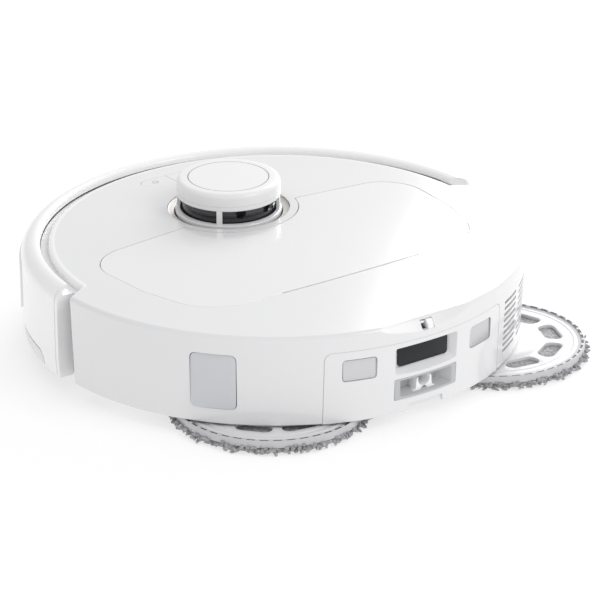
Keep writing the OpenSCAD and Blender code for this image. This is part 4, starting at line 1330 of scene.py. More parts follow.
@dataclass
class DockFace:
    """Rear panel with charging contacts, sensor pocket and filling port."""

    half: float = 73.7
    top: float = 62.0
    contact_x: Flat = (39.0, 62.5)
    contact_z: Flat = (40.0, 56.0)
    pocket_half: float = 27.9
    pocket_z: Flat = (37.0, 59.0)
    pocket_depth: float = 8.0
    port_half: float = 25.8
    port_z: Flat = (20.3, 35.3)
    notch_half: float = 14.3
    notch_z: float = 15.5
    panel_wall: float = 2.4
    contact_turn: float = 17
    contact_reach: float = 6
    eye_size: Flat = (41.5, 14.2)
    eye_z: float = 49.3

    def funnel(self, name: str, mouth: Sequence[Flat], floor: Sequence[Flat], y0: float, y1: float) -> Object:
        """Solid between a mouth outline at y0 and a floor outline at y1.

        Args:
            name: piece name.
            mouth: outline at the open end.
            floor: outline at the closed end.
            y0: place of the mouth.
            y1: place of the floor.

        Returns:
            The mesh object.
        """
        n = len(mouth)
        points = [(x, y0, z) for x, z in mouth] + [(x, y1, z) for x, z in floor]
        return solid(name, points, ends(2, n) + walls(n))

    def pocket_tool(self, grow: float = 0.0) -> Object:
        """The sensor pocket's hollow, its lower wall slanting more than its sides.

        Args:
            grow: distance by which every side moves outwards.

        Returns:
            The cutting solid.
        """
        low, high = self.pocket_z
        w = 2 * self.pocket_half + 2 * grow
        mouth = rounded(w + 1, high - low + 2 * grow, 2.2, (0, (low + high) / 2))
        back = rounded(w - 12, 14.6 + 2 * grow, 1.6, (0, 49.4))
        return self.funnel("pocket", mouth, back, BODY.radius + 0.6, BODY.radius - self.pocket_depth - grow)

    def panel(self) -> Object:
        """The curved panel with all its openings.

        Returns:
            The mesh object.
        """
        outer = [(BODY.wall_r(z), z) for z in (10.4, 25, 40, 55, 63)]
        profile = outer + [(r - self.panel_wall, z) for r, z in outer[::-1]]
        obj = rear_turned("dock_panel", profile, -27, 27, 108)
        z0 = self.top / 2 - 10
        edge = rounded(2 * self.half, self.top + 20, 5.2, (0, z0), 8)
        carved(obj, [extruded("frame", edge, *DEEP_REAR, Axis.Y)], Cut.KEEP)
        tray = self.pocket_tool(1.6)
        keep = rear_turned("keep", [(150, 20), (173.2, 20), (173.2, 70), (150, 70)], -20, 20, 60)
        carved(tray, [keep], Cut.KEEP)
        carved(obj, [tray], Cut.ADD)
        cuts = [self.pocket_tool()]
        zc = sum(self.port_z) / 2
        cuts.append(extruded("port", rounded(2 * self.port_half + 0.5, 15.5, 1.3, (0, zc)), *REAR, Axis.Y))
        notch = rounded(2 * self.notch_half, 2 * (self.notch_z - 8), 1.6, (0, 8))
        cuts.append(extruded("notch", notch, *REAR, Axis.Y))
        for s in (-1, 1):
            x, z = s * sum(self.contact_x) / 2, sum(self.contact_z) / 2
            hole = rounded(self.contact_x[1] - self.contact_x[0], 16, 2.5, (x, z))
            cuts.append(extruded("hole", hole, *REAR, Axis.Y))
        carved(obj, cuts)
        return dressed_normals(obj, BODY.normal, 14)

    def contact(self, side: int) -> Object:
        """One charging plate, slightly set back.

        Args:
            side: 1 for the left, -1 for the right.

        Returns:
            The mesh object.
        """
        x = side * sum(self.contact_x) / 2
        shape = rounded(self.contact_x[1] - self.contact_x[0] - 1.6, 14.4, 2.0, (x, 48))
        tool = extruded("shape", shape, *REAR, Axis.Y)
        profile = [(172.0, 36), (173.1, 36), (173.2, 60), (172.0, 60)]
        name = "charging_plate_left" if side > 0 else "charging_plate_right"
        middle, reach = side * self.contact_turn, self.contact_reach
        plate = rear_turned(name, profile, middle - reach, middle + reach, 24)
        return softened(carved(plate, [tool], Cut.KEEP), 0.3)

    def collar(self, side: int) -> Object:
        """White rim and floor round a charging plate.

        Args:
            side: 1 for the left, -1 for the right.

        Returns:
            The mesh object.
        """
        x = side * sum(self.contact_x) / 2
        profile = [(170.6, 36), (171.9, 36), (171.9, 60), (170.6, 60)]
        name = "contact_seat_left" if side > 0 else "contact_seat_right"
        middle, reach = side * self.contact_turn, self.contact_reach
        back = rear_turned(name, profile, middle - reach, middle + reach, 24)
        outer = rounded(self.contact_x[1] - self.contact_x[0] + 2, 18, 2.5, (x, 48))
        return carved(back, [extruded("o", outer, *REAR, Axis.Y)], Cut.KEEP)

    def port(self) -> Object:
        """The filling port: slanted walls round a recess.

        Returns:
            The mesh object.
        """
        zc = sum(self.port_z) / 2
        y_face = math.sqrt((BODY.wall_r(28) - 0.7) ** 2 - self.port_half ** 2)
        edge = rounded(2 * self.port_half, 14.9, 1.1, (0, zc))
        block = extruded("port_frame", edge, y_face - 11, y_face + 5, Axis.Y)
        keep = rear_turned("keep", [(150, 10), (173.0, 10), (173.1, 45), (150, 45)], -12, 12, 40)
        carved(block, [keep], Cut.KEEP)
        mouth = rounded(2 * self.port_half - 1.8, 13.3, 0.9, (0, zc))
        floor = rounded(2 * self.port_half - 24, 9.0, 0.8, (0, zc + 0.3))
        hollow = self.funnel("hollow", mouth, floor, BODY.radius + 1, y_face - 8.6)
        return softened(carved(block, [hollow]), 0.2)

    def spout(self) -> Object:
        """The half-round spout with its two feet and the arched slot under it.

        Returns:
            The mesh object.
        """
        zc = sum(self.port_z) / 2
        y0, y1 = 158.6, 169.6
        feet = [(-6.9, zc - 4.4), (-9.2, zc - 5.4), (-9.2, zc - 6.6), (9.2, zc - 6.6), (9.2, zc - 5.4),
                (6.9, zc - 4.4)]
        outer = bend((0, zc + 0.6), 6.4, -8, 188, 20) + feet
        body = extruded("filler_spout", outer, y0, y1, Axis.Y)
        arch = bend((0, zc - 6.2), 2.7, 0, 180, 12) + [(-2.7, zc - 6.9), (2.7, zc - 6.9)]
        bore = bend((0, zc + 1.6), 4.9, 0, 360, 32)[:-1]
        open_top = rounded(18, 6, 1, (0, zc + 6.4))
        end = y1 + 3
        tools = [extruded("arch", arch, y0 + 2.5, end, Axis.Y),
                 extruded("bore", bore, y0 + 1.6, end, Axis.Y),
                 extruded("top", open_top, y0 - 2, end, Axis.Y)]
        return softened(carved(body, tools), 0.25)

    def build(self) -> None:
        """Makes and dresses the dock face."""
        finished(self.panel(), GLOSS_WHITE, "trim_white", "body", "rear_panel")
        for side, node in ((1, "charging_contact_left"), (-1, "charging_contact_right")):
            finished(self.contact(side), CONTACT_METAL, "contact_metal", "body", node)
            finished(self.collar(side), TRIM_WHITE, "trim_white", "body")
        pane = rounded(*self.eye_size, 2.4, (0, self.eye_z))
        eye = extruded("dock_eye", pane, BODY.radius - 8.2, BODY.radius - 6.6, Axis.Y)
        finished(softened(eye, 0.3), DARK_WINDOW, "dark_window", "body", "dock_sensor_window")
        finished(self.port(), PORT_GREY, "port_grey", "body", "filler_port")
        # The spout is dressed far lighter than its port grey: painted light.
        finished(self.spout(), LIT_EDGE_WHITE, "port_grey", "body")
        bar = rounded(2 * self.notch_half + 2, 3.4, 0.6, (0, 13.6))
        rib = extruded("notch_rib", bar, 168.8, 170.4, Axis.Y)
        finished(softened(rib, 0.2), TRIM_WHITE, "trim_white", "body")


# ------------------------------------------------------------------ bumper


@dataclass
class Bumper:
    """The sprung front bumper with its lower band, sensor cover and springs."""

    radius: float = 178.4
    rim_r: float = 164.8
    low: float = 12.5
    high: float = 78.0
    wall: float = 2.4
    half: float = 88.5
    trim_half: float = 81.0
    trim_top: float = 23.0
    cover_half: float = 62.0
    cover_z: Flat = (30.0, 66.0)
    cover_r: float = 179.55
    round_r: float = 11.0
    corner_z: float = 72.6
    cover_corner: float = 6
    spring_r: float = 3.4

    def outside(self, inset: float = 0.0) -> list[Flat]:
        """Outer profile from the bottom over the top to the inner rim.

        Args:
            inset: distance by which the profile moves inwards.

        Returns:
            Points of (radius, height).
        """
        r = self.radius - inset
        c = (r - self.round_r + inset, self.high - self.round_r)
        turn = self.round_r - inset
        side = [(r - 1.6, self.low), (r - 1.0, self.low + 1.2), (r - 0.2, self.low + 10), (r, self.low + 14)]
        return side + bend(c, turn, 0, 84, 12)

    def profile(self) -> list[Flat]:
        """Closed profile of the bumper's wall.

        Returns:
            Points of (radius, height).
        """
        rim = bend((self.rim_r + 2.2, self.high - 2.9), 2.2, 96, 180, 6)
        inside = [(self.rim_r, self.high - 5.2), (self.rim_r + 1.6, self.high - 5.2),
                  (self.rim_r + 2.4, self.high - 3.4)]
        return self.outside() + rim + inside + self.outside(self.wall)[::-1]

    def trim_columns(self, grow: float) -> list[tuple[float, float, float]]:
        """Columns of the lower band, its upper corners rounded.

        Args:
            grow: distance by which the band's outline moves outwards.

        Returns:
            Columns for wrapped.
        """
        half = math.radians(self.trim_half) * self.radius + grow
        top, corner = self.trim_top + grow, 9.0
        edges = [half - corner + corner * math.sin(math.radians(90 * i / 10)) for i in range(11)]
        drops = [corner * (1 - math.cos(math.radians(90 * i / 10))) for i in range(11)]
        foot = 4.0
        left = [(180 - math.degrees(s / self.radius), foot, top - d) for s, d in zip(edges, drops)]
        right = [(180 + math.degrees(s / self.radius), foot, top - d) for s, d in zip(edges, drops)]
        inner = half - corner
        count = 72
        flat = [(180 + math.degrees(inner * (2 * i / count - 1) / self.radius), foot, top)
                for i in range(1, count)]
        return left[::-1] + flat + right

    def end_cap(self, side: int) -> list[Object]:
        """Solids that close one end of the skin's wall.

        Args:
            side: 1 for the left, -1 for the right.

        Returns:
            The cap and the block behind the slanted corner.
        """
        r, rim, high = self.radius, self.rim_r, self.high
        end = 180 + side * self.half
        thin, wide = end - 0.7 * side, end - 6.5 * side
        cap = [(rim + 2.0, self.low), (r - 1.5, self.low), (r - 1.0, self.low + 1.2),
               (r - 0.3, self.low + 12)]
        cap += bend((r - 11, high - 11), 10.6, 0, 84, 8) + [(rim + 2.0, high - 1.4)]
        block = [(rim + 0.8, 67.0), (r - 1.2, 67.0), (r - 4, 73.2), (r - 10.8, high - 1.2),
                 (rim + 2.0, high - 1.2), (rim + 0.8, 75.0)]
        return [rear_turned("block", block, min(wide, end), max(wide, end), 8),
                rear_turned("cap", cap, min(thin, end), max(thin, end), 2)]

    def skin(self) -> Object:
        """The bumper's main moulding.

        Returns:
            The mesh object.
        """
        obj = rear_turned("bumper_skin", self.profile(), 180 - self.half, 180 + self.half, 176)
        carved(obj, self.end_cap(-1) + self.end_cap(1), Cut.ADD)
        cuts = [wrapped("band", self.trim_columns(0.75), self.radius - 2.35, self.radius + 6)]
        outer = self.outside()
        away = [(r + 6, z + 6 * max(0.0, (z - 60) / 18)) for r, z in outer]
        groove = [(r - 0.7, z) for r, z in outer] + away[::-1]
        for s in (-1, 1):
            a, b = 180 + s * (self.half - 1.35), 180 + s * (self.half - 1.0)
            cuts.append(rear_turned("groove", groove, min(a, b), max(a, b), 2))
            corner = [(s * 161, -2), (s * 161, -14.5), (s * 163.6, -13.4), (s * 166.5, -10.6),
                      (s * 174, -4.4), (s * 175, -2)]
            cuts.append(extruded("corner", corner if s < 0 else corner[::-1], self.corner_z, 90))
        return carved(obj, cuts)

    def band(self) -> Object:
        """The lower band that sits in the skin's recess.

        Returns:
            The mesh object.
        """
        outer = self.outside(0.15)
        r = self.radius
        profile = outer[:4] + [(r - 0.15, 30), (r - 1.4, 30), (r - 2.9, self.low)]
        obj = rear_turned("bumper_band", profile, 96, 264, 160)
        zone = wrapped("zone", self.trim_columns(-0.75), r - 8, r + 6)
        return softened(carved(obj, [zone], Cut.KEEP), 0.25)

    def seam(self) -> Object:
        """Grey sheet that shows in the gap round the lower band: painted shade in the gap.

        Returns:
            The mesh object.
        """
        r = self.radius
        profile = [(r - 2.3, 30), (r - 3.6, 12.8), (r - 2.95, 12.8), (r - 1.5, 30)]
        obj = rear_turned("bumper_seam", profile, 96, 264, 160)
        return carved(obj, [wrapped("zone", self.trim_columns(0.7), r - 8, r + 6)], Cut.KEEP)

    def cover(self) -> Object:
        """The slightly proud sensor cover across the front.

        Returns:
            The mesh object.
        """
        low, high = self.cover_z
        half = math.radians(self.cover_half) * self.radius
        columns = []
        steps, count, corner = 8, 60, self.cover_corner
        for i in range(steps + 1):
            t = math.radians(90 * i / steps)
            columns.append((half - corner + corner * math.sin(t), corner * (1 - math.cos(t))))
        left = [(180 - math.degrees(s / self.radius), low + d, high - d) for s, d in columns[::-1]]
        right = [(180 + math.degrees(s / self.radius), low + d, high - d) for s, d in columns]
        inner = half - corner
        flat = [(180 + math.degrees(inner * (2 * i / count - 1) / self.radius), low, high)
                for i in range(1, count)]
        obj = wrapped("bumper_visor", left + flat + right, self.radius - 0.4, self.cover_r)
        return softened(obj, 0.5, 3)

    def spring(self, side: int) -> Object:
        """One compression spring behind the bumper.

        Args:
            side: 1 for the left, -1 for the right.

        Returns:
            The mesh object.
        """
        turns, count = 4.5, 72
        path = []
        lead, start, length = 24 * side, 164.4, 10.0
        for i in range(count + 1):
            t = i / count
            along = start + length * t
            a = 2 * math.pi * turns * t
            out = Vector(polar(along, 180 - lead))
            across = Vector((out.y, -out.x)).normalized() * self.spring_r * math.cos(a)
            path.append((out.x + across.x, out.y + across.y, 44 + self.spring_r * math.sin(a)))
        name = "bumper_spring_left" if side > 0 else "bumper_spring_right"
        return tube(name, path, 0.45, 6)

    def build(self) -> None:
        """Makes and dresses the bumper."""
        # Skin and sensor cover wear the lighter copy of the gloss white: painted light.
        finished(self.skin(), LIT_WHITE, "gloss_white", "bumper", "bumper")
        # The seam's dark grey is painted shade in the gap round the band.
        finished(self.seam(), LINE_GREY, "trim_white", "bumper")
        finished(self.band(), TRIM_WHITE, "trim_white", "bumper", "bumper_trim")
        finished(self.cover(), LIT_WHITE, "gloss_white", "bumper", "front_sensor_cover")
        for side in (-1, 1):
            spring = self.spring(side)
            finished(spring, STEEL, "steel", "body", "bumper_springs")
            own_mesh(spring)


# ------------------------------------------------------------------ turret and buttons


@dataclass
class Turret:
    """Laser turret: sprung cap, spinning drum and the cradle in the deck."""

    at: Flat = (0.0, -58.0)
    cap_r: float = 37.0
    top: float = 102.0
    slot: Flat = (79.6, 89.4)
    wall: float = 2.4
    drum_r: float = 33.0
    posts: tuple[float, ...] = (45, 135, 225, 315)
    motor_way: Flat = (52, -26)

    def cap(self) -> Object:
        """Cap and posts as one moulding.

        Returns:
            The mesh object.
        """
        r, w, c = self.cap_r, self.wall, (*self.at, 0.0)
        low, high = self.slot
        z = self.top
        side = [(r - w, high + 0.3), (r - 0.5, high), (r, high + 0.5), (r, 92.5), (r - 0.4, 92.7),
                (r - 0.4, 92.95), (r, 93.15)]
        ring = [(29.1, z), (29.0, z - 0.5), (28.4, z - 0.5), (28.3, z)]
        inside = [(14, z), (0, z), (0, z - w), (r - w - 1.5, z - w), (r - w, z - w - 1.5)]
        top = side + bend((r - 3.4, z - 3.4), 3.4, 0, 90, 8) + ring + inside
        parts = [turned("top", top, at=c, steps=144)]
        bar = [(r - w + 0.1, low - 2), (r - 0.15, low - 2), (r - 0.15, high + 2), (r - w + 0.1, high + 2)]
        half = math.degrees(2.0 / r)
        for a in self.posts:
            parts.append(turned("post", bar, at=c, span=(a - half, a + half), steps=6))
        return joined("turret_shell", parts)

    def skirt(self) -> Object:
        """Skirt and lip under the slot, painted greyer than the cap as shade down in the well.

        Returns:
            The mesh object.
        """
        r, w, low = self.cap_r, self.wall, self.slot[0]
        profile = [(r - w, 69.8), (r, 69.8), (r, 75.6), (r + 0.9, 76.0), (r + 1.1, low - 1.2),
                   (r + 0.7, low - 0.5), (r - 0.3, low), (r - w, low)]
        return turned("turret_skirt", profile, at=(*self.at, 0.0), steps=144)

    def ring_line(self) -> Object:
        """Thin grey line let into the groove in the cap's top, open in two places: painted shade in the
        groove.

        Returns:
            The mesh object.
        """
        z = self.top
        line = [(28.42, z - 0.45), (28.98, z - 0.45), (28.98, z - 0.12), (28.42, z - 0.12)]
        spans = ((32, 208), (212, 388))
        arcs = [turned("line", line, at=(*self.at, 0.0), span=s, steps=72) for s in spans]
        return joined("cap_ring_line", arcs)

    def drum(self) -> Object:
        """The dark spinning head with lens ports and ribs.

        Returns:
            The mesh object.
        """
        r = self.drum_r
        profile = [(0, 61.5), (r - 4, 61.5), (r - 4, 67.2), (r - 0.6, 67.2), (r, 67.8), (r, 71.6),
                   (r - 1.2, 72), (r - 1.2, 76), (r, 76.4), (r, 83.0), (r - 0.5, 83.4), (r - 0.5, 84.2),
                   (r, 84.6), (r, 96.0), (r - 0.8, 96.8), (0, 96.8)]
        obj = turned("laser_drum", profile, at=(*self.at, 0), steps=144)
        ports = []
        for x in (-11.0, 11.0):
            lens = bend((x, 86.0), 3.6, 0, 360, 24)[:-1]
            ports.append(extruded("lens", lens, self.at[1] + 26, self.at[1] + 40, Axis.Y))
        bore = turned("bore", [(0, 60), (6.05, 60), (6.05, 67), (0, 67)], at=(*self.at, 0), steps=48)
        return carved(obj, ports + [bore])

    def cradle(self) -> Object:
        """Pale ring and floor that the turret stands in.

        Returns:
            The mesh object.
        """
        profile = [(0, 57), (46, 57), (46, 73.0), (43.5, 74.2), (43.5, 77.6), (42.9, 77.3), (41.6, 76.9),
                   (39.9, 76.7), (38.9, 76.3), (38.6, 75.6), (38.6, 73.4), (43.2, 71.0), (43.2, 59.4),
                   (6, 59.4), (6, 66), (0, 66)]
        obj = turned("turret_cradle", profile, at=(*self.at, 0), steps=144)
        heading = math.degrees(math.atan2(self.motor_way[1], self.motor_way[0]))
        out = [(30, -26), (60, -26), (60, 26), (30, 26)]
        turn = Matrix.Rotation(math.radians(heading), 2)
        spots = [turn @ Vector(p) for p in out]
        box = [(self.at[0] + p.x, self.at[1] + p.y) for p in spots]
        return carved(obj, [extruded("belt_way", box, 61, 68)])

    def build(self) -> None:
        """Makes and dresses the turret."""
        finished(self.cap(), CAP_WHITE, "gloss_white", "turret", "turret_cap")
        # The skirt is gloss white, painted grey as shade in the well.
        finished(self.skirt(), CAP_SHADE_GREY, "gloss_white", "turret")
        # The ring line's grey is painted shade in the cap's groove.
        finished(self.ring_line(), LINE_GREY, "gloss_white", "turret")
        finished(self.drum(), LASER_BLACK, "lidar_black", "laser_head", "lidar_head")
        finished(self.cradle(), WELL_BEIGE, "well_beige", "body", "lidar_base")


@dataclass
class Buttons:
    """The two keys in front of the turret."""

    at: Flat = (0.0, -132.0)
    width: float = 48.0
    height: float = 15.0

    def half_outline(self, side: int) -> list[Flat]:
        """Plan of one key, round at its outer end, anticlockwise.

        Args:
            side: 1 for the left, -1 for the right.

        Returns:
            Outline points.
        """
        r = self.height / 2 - 0.12
        x = self.width / 2 - r - 0.02
        y = self.at[1]
        arch = bend((x, y), r, -90, 90, 14)
        points = [(0.18, y - r)] + arch + [(0.18, y + r)]
        return points if side > 0 else [(-u, v) for u, v in points[::-1]]

    def power_mark(self) -> Object:
        """A plain power sign: open ring with a bar.

        Returns:
            The mesh object.
        """
        cx, cy = 13.0, self.at[1]
        ring = [(cx + p[0], cy + p[1]) for p in bend((0, 0), 2.3, 125, 415, 28)]
        path = [(x, y, BODY.dome_at(x, y) - 0.12) for x, y in ring]
        bar = [(cx, cy + d, BODY.dome_at(cx, cy + d) - 0.12) for d in (0.6, 3.1)]
        return joined("power_mark", [tube("ring", path, 0.24, 6), tube("bar", bar, 0.24, 6)])

    def build(self) -> None:
        """Makes and dresses the keys."""
        for side, name, node in ((1, "power_key", "power_button"), (-1, "dock_key", "dock_button")):
            edge = [(i, d + 0.04) for i, d in soft_rim(0.14, 4.2)]
            key = domed_plate(name, self.half_outline(side), edge, 6)
            finished(key, GLOSS_WHITE, "gloss_white", node, node)
        finished(self.power_mark(), LINE_GREY, "gloss_white", "power_button")


# ------------------------------------------------------------------ running gear and brushes


@dataclass
class MainBrush:
    """Rubber roller with six slanted fins."""

    y: float = -62.0
    z: float = 25.0
    length: float = 160.0
    core: float = 13.0
    reach: float = 20.3
    fins: int = 6
    sweep: float = 46.0

    def fin(self, start: float) -> Object:
        """One fin, slanting to the middle and back.

        Args:
            start: its angle at the roller's ends.

        Returns:
            The mesh object.
        """
        points, steps = [], 40
        section = ((self.core - 2, -3.0), (self.reach, -2.2), (self.reach, 1.2), (self.core - 2, 6.0))
        for i in range(steps + 1):
            t = i / steps
            x = -self.length / 2 + 2 + (self.length - 4) * t
            lean = start + self.sweep * (1 - abs(2 * t - 1))
            for r, off in section:
                a = math.radians(lean + off)
                points.append((x, self.y + r * math.cos(a), self.z + r * math.sin(a)))
        return solid("fin", points, ends(steps + 1, 4) + bands(steps + 1, 4))

    def build(self) -> None:
        """Makes and dresses the roller."""
        h = self.length / 2
        core = [(0, -h), (11, -h), (self.core, -h + 3), (self.core, h - 3), (11, h), (0, h)]
        pins = [(0, -h - 6.5), (2.4, -h - 6.5), (3, -h - 5.5), (3, h + 6), (2.4, h + 7), (0, h + 7)]
        parts = [turned("core", core, at=(0, self.y, self.z), axis=Axis.X, steps=64),
                 turned("pins", pins, at=(0, self.y, self.z), axis=Axis.X, steps=32)]
        parts += [self.fin(i * 360 / self.fins) for i in range(self.fins)]
        finished(joined("main_roller", parts), RUBBER, "rubber_dark", "main_brush", "main_brush")


@dataclass
class SideBrush:
    """Three-armed corner brush with bristle tufts."""

    at: Flat = (-98.0, -108.0)
    reach: float = 57.0
    arms: int = 3
    bristles: int = 22
    bare: float = 20

    def build(self) -> None:
        """Makes and dresses hub, arms and bristles."""
        c = (*self.at, 0.0)
        hub = [(0, 3.2), (6.5, 3.2), (8, 4.4), (8, 8.4), (7.2, 9), (3, 9.2), (3, 20), (0, 20)]
        parts = [turned("hub", hub, at=c, steps=48)]
        rng = random.Random(7)
        tufts = []
        for i in range(self.arms):
            a = math.radians(50 + 360 / self.arms * i)
            along = Vector((math.cos(a), math.sin(a), 0))
            across = Vector((-along.y, along.x, 0))
            root = Vector(c) + Vector((0, 0, 5.2))
            arm = [tuple(root + along * d) for d in (4, 12, 22)]
            parts.append(tube("arm", arm, 2.6, 10))
            for k in range(self.bristles):
                off = (k % 6 - 2.5) * 0.55
                lift = (k // 6 - 1.5) * 0.5
                flare = rng.uniform(-0.05, 0.05) + off * 0.02
                path = []
                for s in range(6):
                    d = self.bare + (self.reach - self.bare - rng.uniform(0, 0.6)) * s / 5
                    free = d - self.bare
                    drop = Vector((0, 0, lift * 0.8 - 0.00085 * free ** 2))
                    p = root + along * d + across * (off + flare * free) + drop
                    path.append(tuple(p))
                tufts.append(tube("bristle", path, 0.28, 4))
        finished(joined("side_brush_hub", parts), DARK_PLASTIC, "dark_plastic", "side_brush", "side_brush")
        finished(joined("side_brush_bristles", tufts), RUBBER, "dark_plastic", "side_brush")


@dataclass
class Tread:
    """Wheel tyres with slanted lugs."""

    x: float = 115.0
    y: float = -8.0
    radius: float = 35.0
    width: float = 24.0
    lugs: int = 30

    def tyre(self, side: int) -> Object:
        """One tyre: carcass and two rows of slanted lugs.

        Args:
            side: 1 for the left, -1 for the right.

        Returns:
            The mesh object.
        """
        r, w = self.radius, self.width / 2
        at = (side * self.x, self.y, self.radius)
        carcass = [(r - 8, -w), (r - 3.4, -w), (r - 2.2, -w + 1.2), (r - 2.0, w - 1.2), (r - 3.2, w),
                   (r - 8, w)]
        parts = [turned("carcass", carcass, at=at, axis=Axis.X, steps=96)]
        for i in range(self.lugs):
            for row in (-1, 1):
                mid = 360 * (i + (row + 1) / 4) / self.lugs
                points = []
                corners = ((r - 2.6, w - 1, 5.0), (r - 2.6, 0.6, 0.0), (r, 0.9, 0.0), (r, w - 1.6, 5.0))
                for h, x, lean in corners:
                    for edge in (-1, 1):
                        t = math.radians(mid + lean + edge * (2.6 if h < r else 2.1))
                        points.append((at[0] + row * x, at[1] + h * math.cos(t), at[2] + h * math.sin(t)))
                faces = [(0, 1, 3, 2), (2, 3, 5, 4), (4, 5, 7, 6), (6, 7, 1, 0), (0, 2, 4, 6), (1, 7, 5, 3)]
                parts.append(solid("lug", points, faces))
        return joined("tread_left" if side > 0 else "tread_right", parts)

    def build(self) -> None:
        """Makes and dresses both tyres."""
        for side, name in ((1, "left"), (-1, "right")):
            finished(self.tyre(side), RUBBER, "tyre_rubber", f"{name}_wheel", f"{name}_tyre")


# ------------------------------------------------------------------ mops


@dataclass
class Mop:
    """A mop plate with its looped microfibre pad."""

    side: int
    body: str
    plate_node: str
    pad_node: str
    pad_r: float = 70.0
    pad_h: float = 4.5
    ring_r: float = 65.6
    ring_top: float = 9.8
    web_r: float = 60.0
    slots: int = 9
    strands: int = 84
    layers: int = 4
    dash_count: int = 45
    pad_sharp: float = 60
    slot_mid: float = 44.0

    @property
    def at(self) -> Spot:
        """Middle of the plate on the floor, from its CAD node."""
        low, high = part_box(self.plate_node)
        return ((low.x + high.x) / 2 / MM, (low.y + high.y) / 2 / MM, 0.0)

    def plate(self) -> Object:
        """Web with kidney openings, hub dome and drive boss.

        Returns:
            The mesh object.
        """
        c = self.at
        h = self.pad_h
        edge = [(0, h + 2.0), (self.web_r + 1, h + 2.0), (self.web_r + 1, h + 3.7), (self.web_r, h + 4.2)]
        disc = [(58, h + 4.3), (57.6, h + 3.9), (54.4, h + 3.9), (54.0, h + 4.3), (37, h + 4.4)]
        dome = [(35.6, h + 4.8), (34.8, h + 5.4), (30, h + 5.7), (22, h + 6.2), (12, h + 6.4), (10, h + 6.2)]
        boss = [(9.0, h + 6.6), (8.2, h + 9), (6.8, h + 11.6), (0, h + 11.9)]
        obj = turned("plate", edge + disc + dome + boss, at=c, steps=180)
        pitch = 360 / self.slots
        tools = []
        for i in range(self.slots):
            shape = rounded(24.6, 12.8, 5.4, (0, 0), 8)
            ring = [bend(c[:2], self.slot_mid + v, i * pitch + math.degrees(u / self.slot_mid), 0, 1)[0]
                    for u, v in shape]
            tools.append(extruded("slot", ring, 2, 30))
        carved(obj, [joined("slots", tools)])
        return softened(obj, 0.35)

    def ring(self) -> Object:
        """Raised ring round the plate, painted grey as shade under the body.

        Returns:
            The mesh object.
        """
        h, r, web, z = self.pad_h, self.ring_r, self.web_r, self.ring_top
        profile = [(web, h + 0.2), (r, h + 0.2), (r, z - 1.4), (r - 0.5, z - 0.4), (r - 1.2, z),
                   (r - 2.2, z - 0.1), (r - 2.6, z - 1.1), (web + 0.6, z - 1.3), (web, z - 1.9)]
        obj = turned("ring", profile, at=self.at, steps=180)
        trench = [(r - 2.5, z - 0.8), (r - 0.9, z - 0.8), (r - 0.9, 12), (r - 2.5, 12)]
        groove = turned("groove", trench, at=self.at, steps=180)
        return carved(obj, [groove])

    def dashes(self) -> tuple[Object, Object]:
        """Pale bridges and dark slots let into the ring's groove, in turn.

        Returns:
            The dark slots and the pale bridges.
        """
        r, z = self.ring_r, self.ring_top
        low = [(r - 2.48, z - 0.78), (r - 0.92, z - 0.78), (r - 0.92, z - 0.4), (r - 2.48, z - 0.4)]
        high = [(r - 2.48, z - 0.78), (r - 0.92, z - 0.78), (r - 0.92, z - 0.08), (r - 2.48, z - 0.08)]
        starts = [i * 360 // self.dash_count for i in range(self.dash_count)]
        dark = [turned("d", low, at=self.at, span=(a, a + 5.2), steps=4) for a in starts]
        pale = [turned("p", high, at=self.at, span=(a + 5.25, a + 7.95), steps=2) for a in starts]
        return joined("dashes", dark), joined("bridges", pale)

    def strand(self, rng: random.Random, angle: float, layer: int) -> tuple[list[Spot], list[Sequence[int]]]:
        """One chenille noodle from the pad's rim outwards.

        Args:
            rng: seeded source of its small differences.
            angle: where it leaves the pad.
            layer: 0 is lowest.

        Returns:
            Its points and faces.
        """
        cx, cy, _ = self.at
        length = rng.uniform(6.4, 10.6)
        thick = rng.uniform(1.15, 1.75)
        start = self.pad_r - 10.6
        z0 = 1.6 + layer * 1.1
        droop = rng.uniform(-0.3, 0.6) * (layer + 0.2)
        swerve = rng.uniform(-5.0, 5.0)
        points: list[Spot] = []
        steps, sides = 5, 6
        phase = rng.uniform(0, 6.28)
        for i in range(steps + 1):
            t = i / steps
            r = start + length * t
            a = math.radians(angle + swerve * t * t)
            lump = 1 + 0.28 * math.sin(phase + i * 2.4)
            width = thick * lump * (0.55 if i == steps else 1.0)
            zc = max(z0 - droop * t * t + 0.25 * math.sin(phase + 3 * t), 0.1 + width * 0.8)
            out = Vector((math.cos(a), math.sin(a), 0))
            across = Vector((-out.y, out.x, 0))
            middle = Vector((cx, cy, 0)) + out * min(r, self.pad_r - 0.4) + Vector((0, 0, zc))
            for k in range(sides):
                u = 2 * math.pi * k / sides + phase
                p = middle + across * math.cos(u) * width + Vector((0, 0, math.sin(u) * width * 0.85))
                points.append((p.x, p.y, p.z))
        return points, ends(steps + 1, sides) + bands(steps + 1, sides)

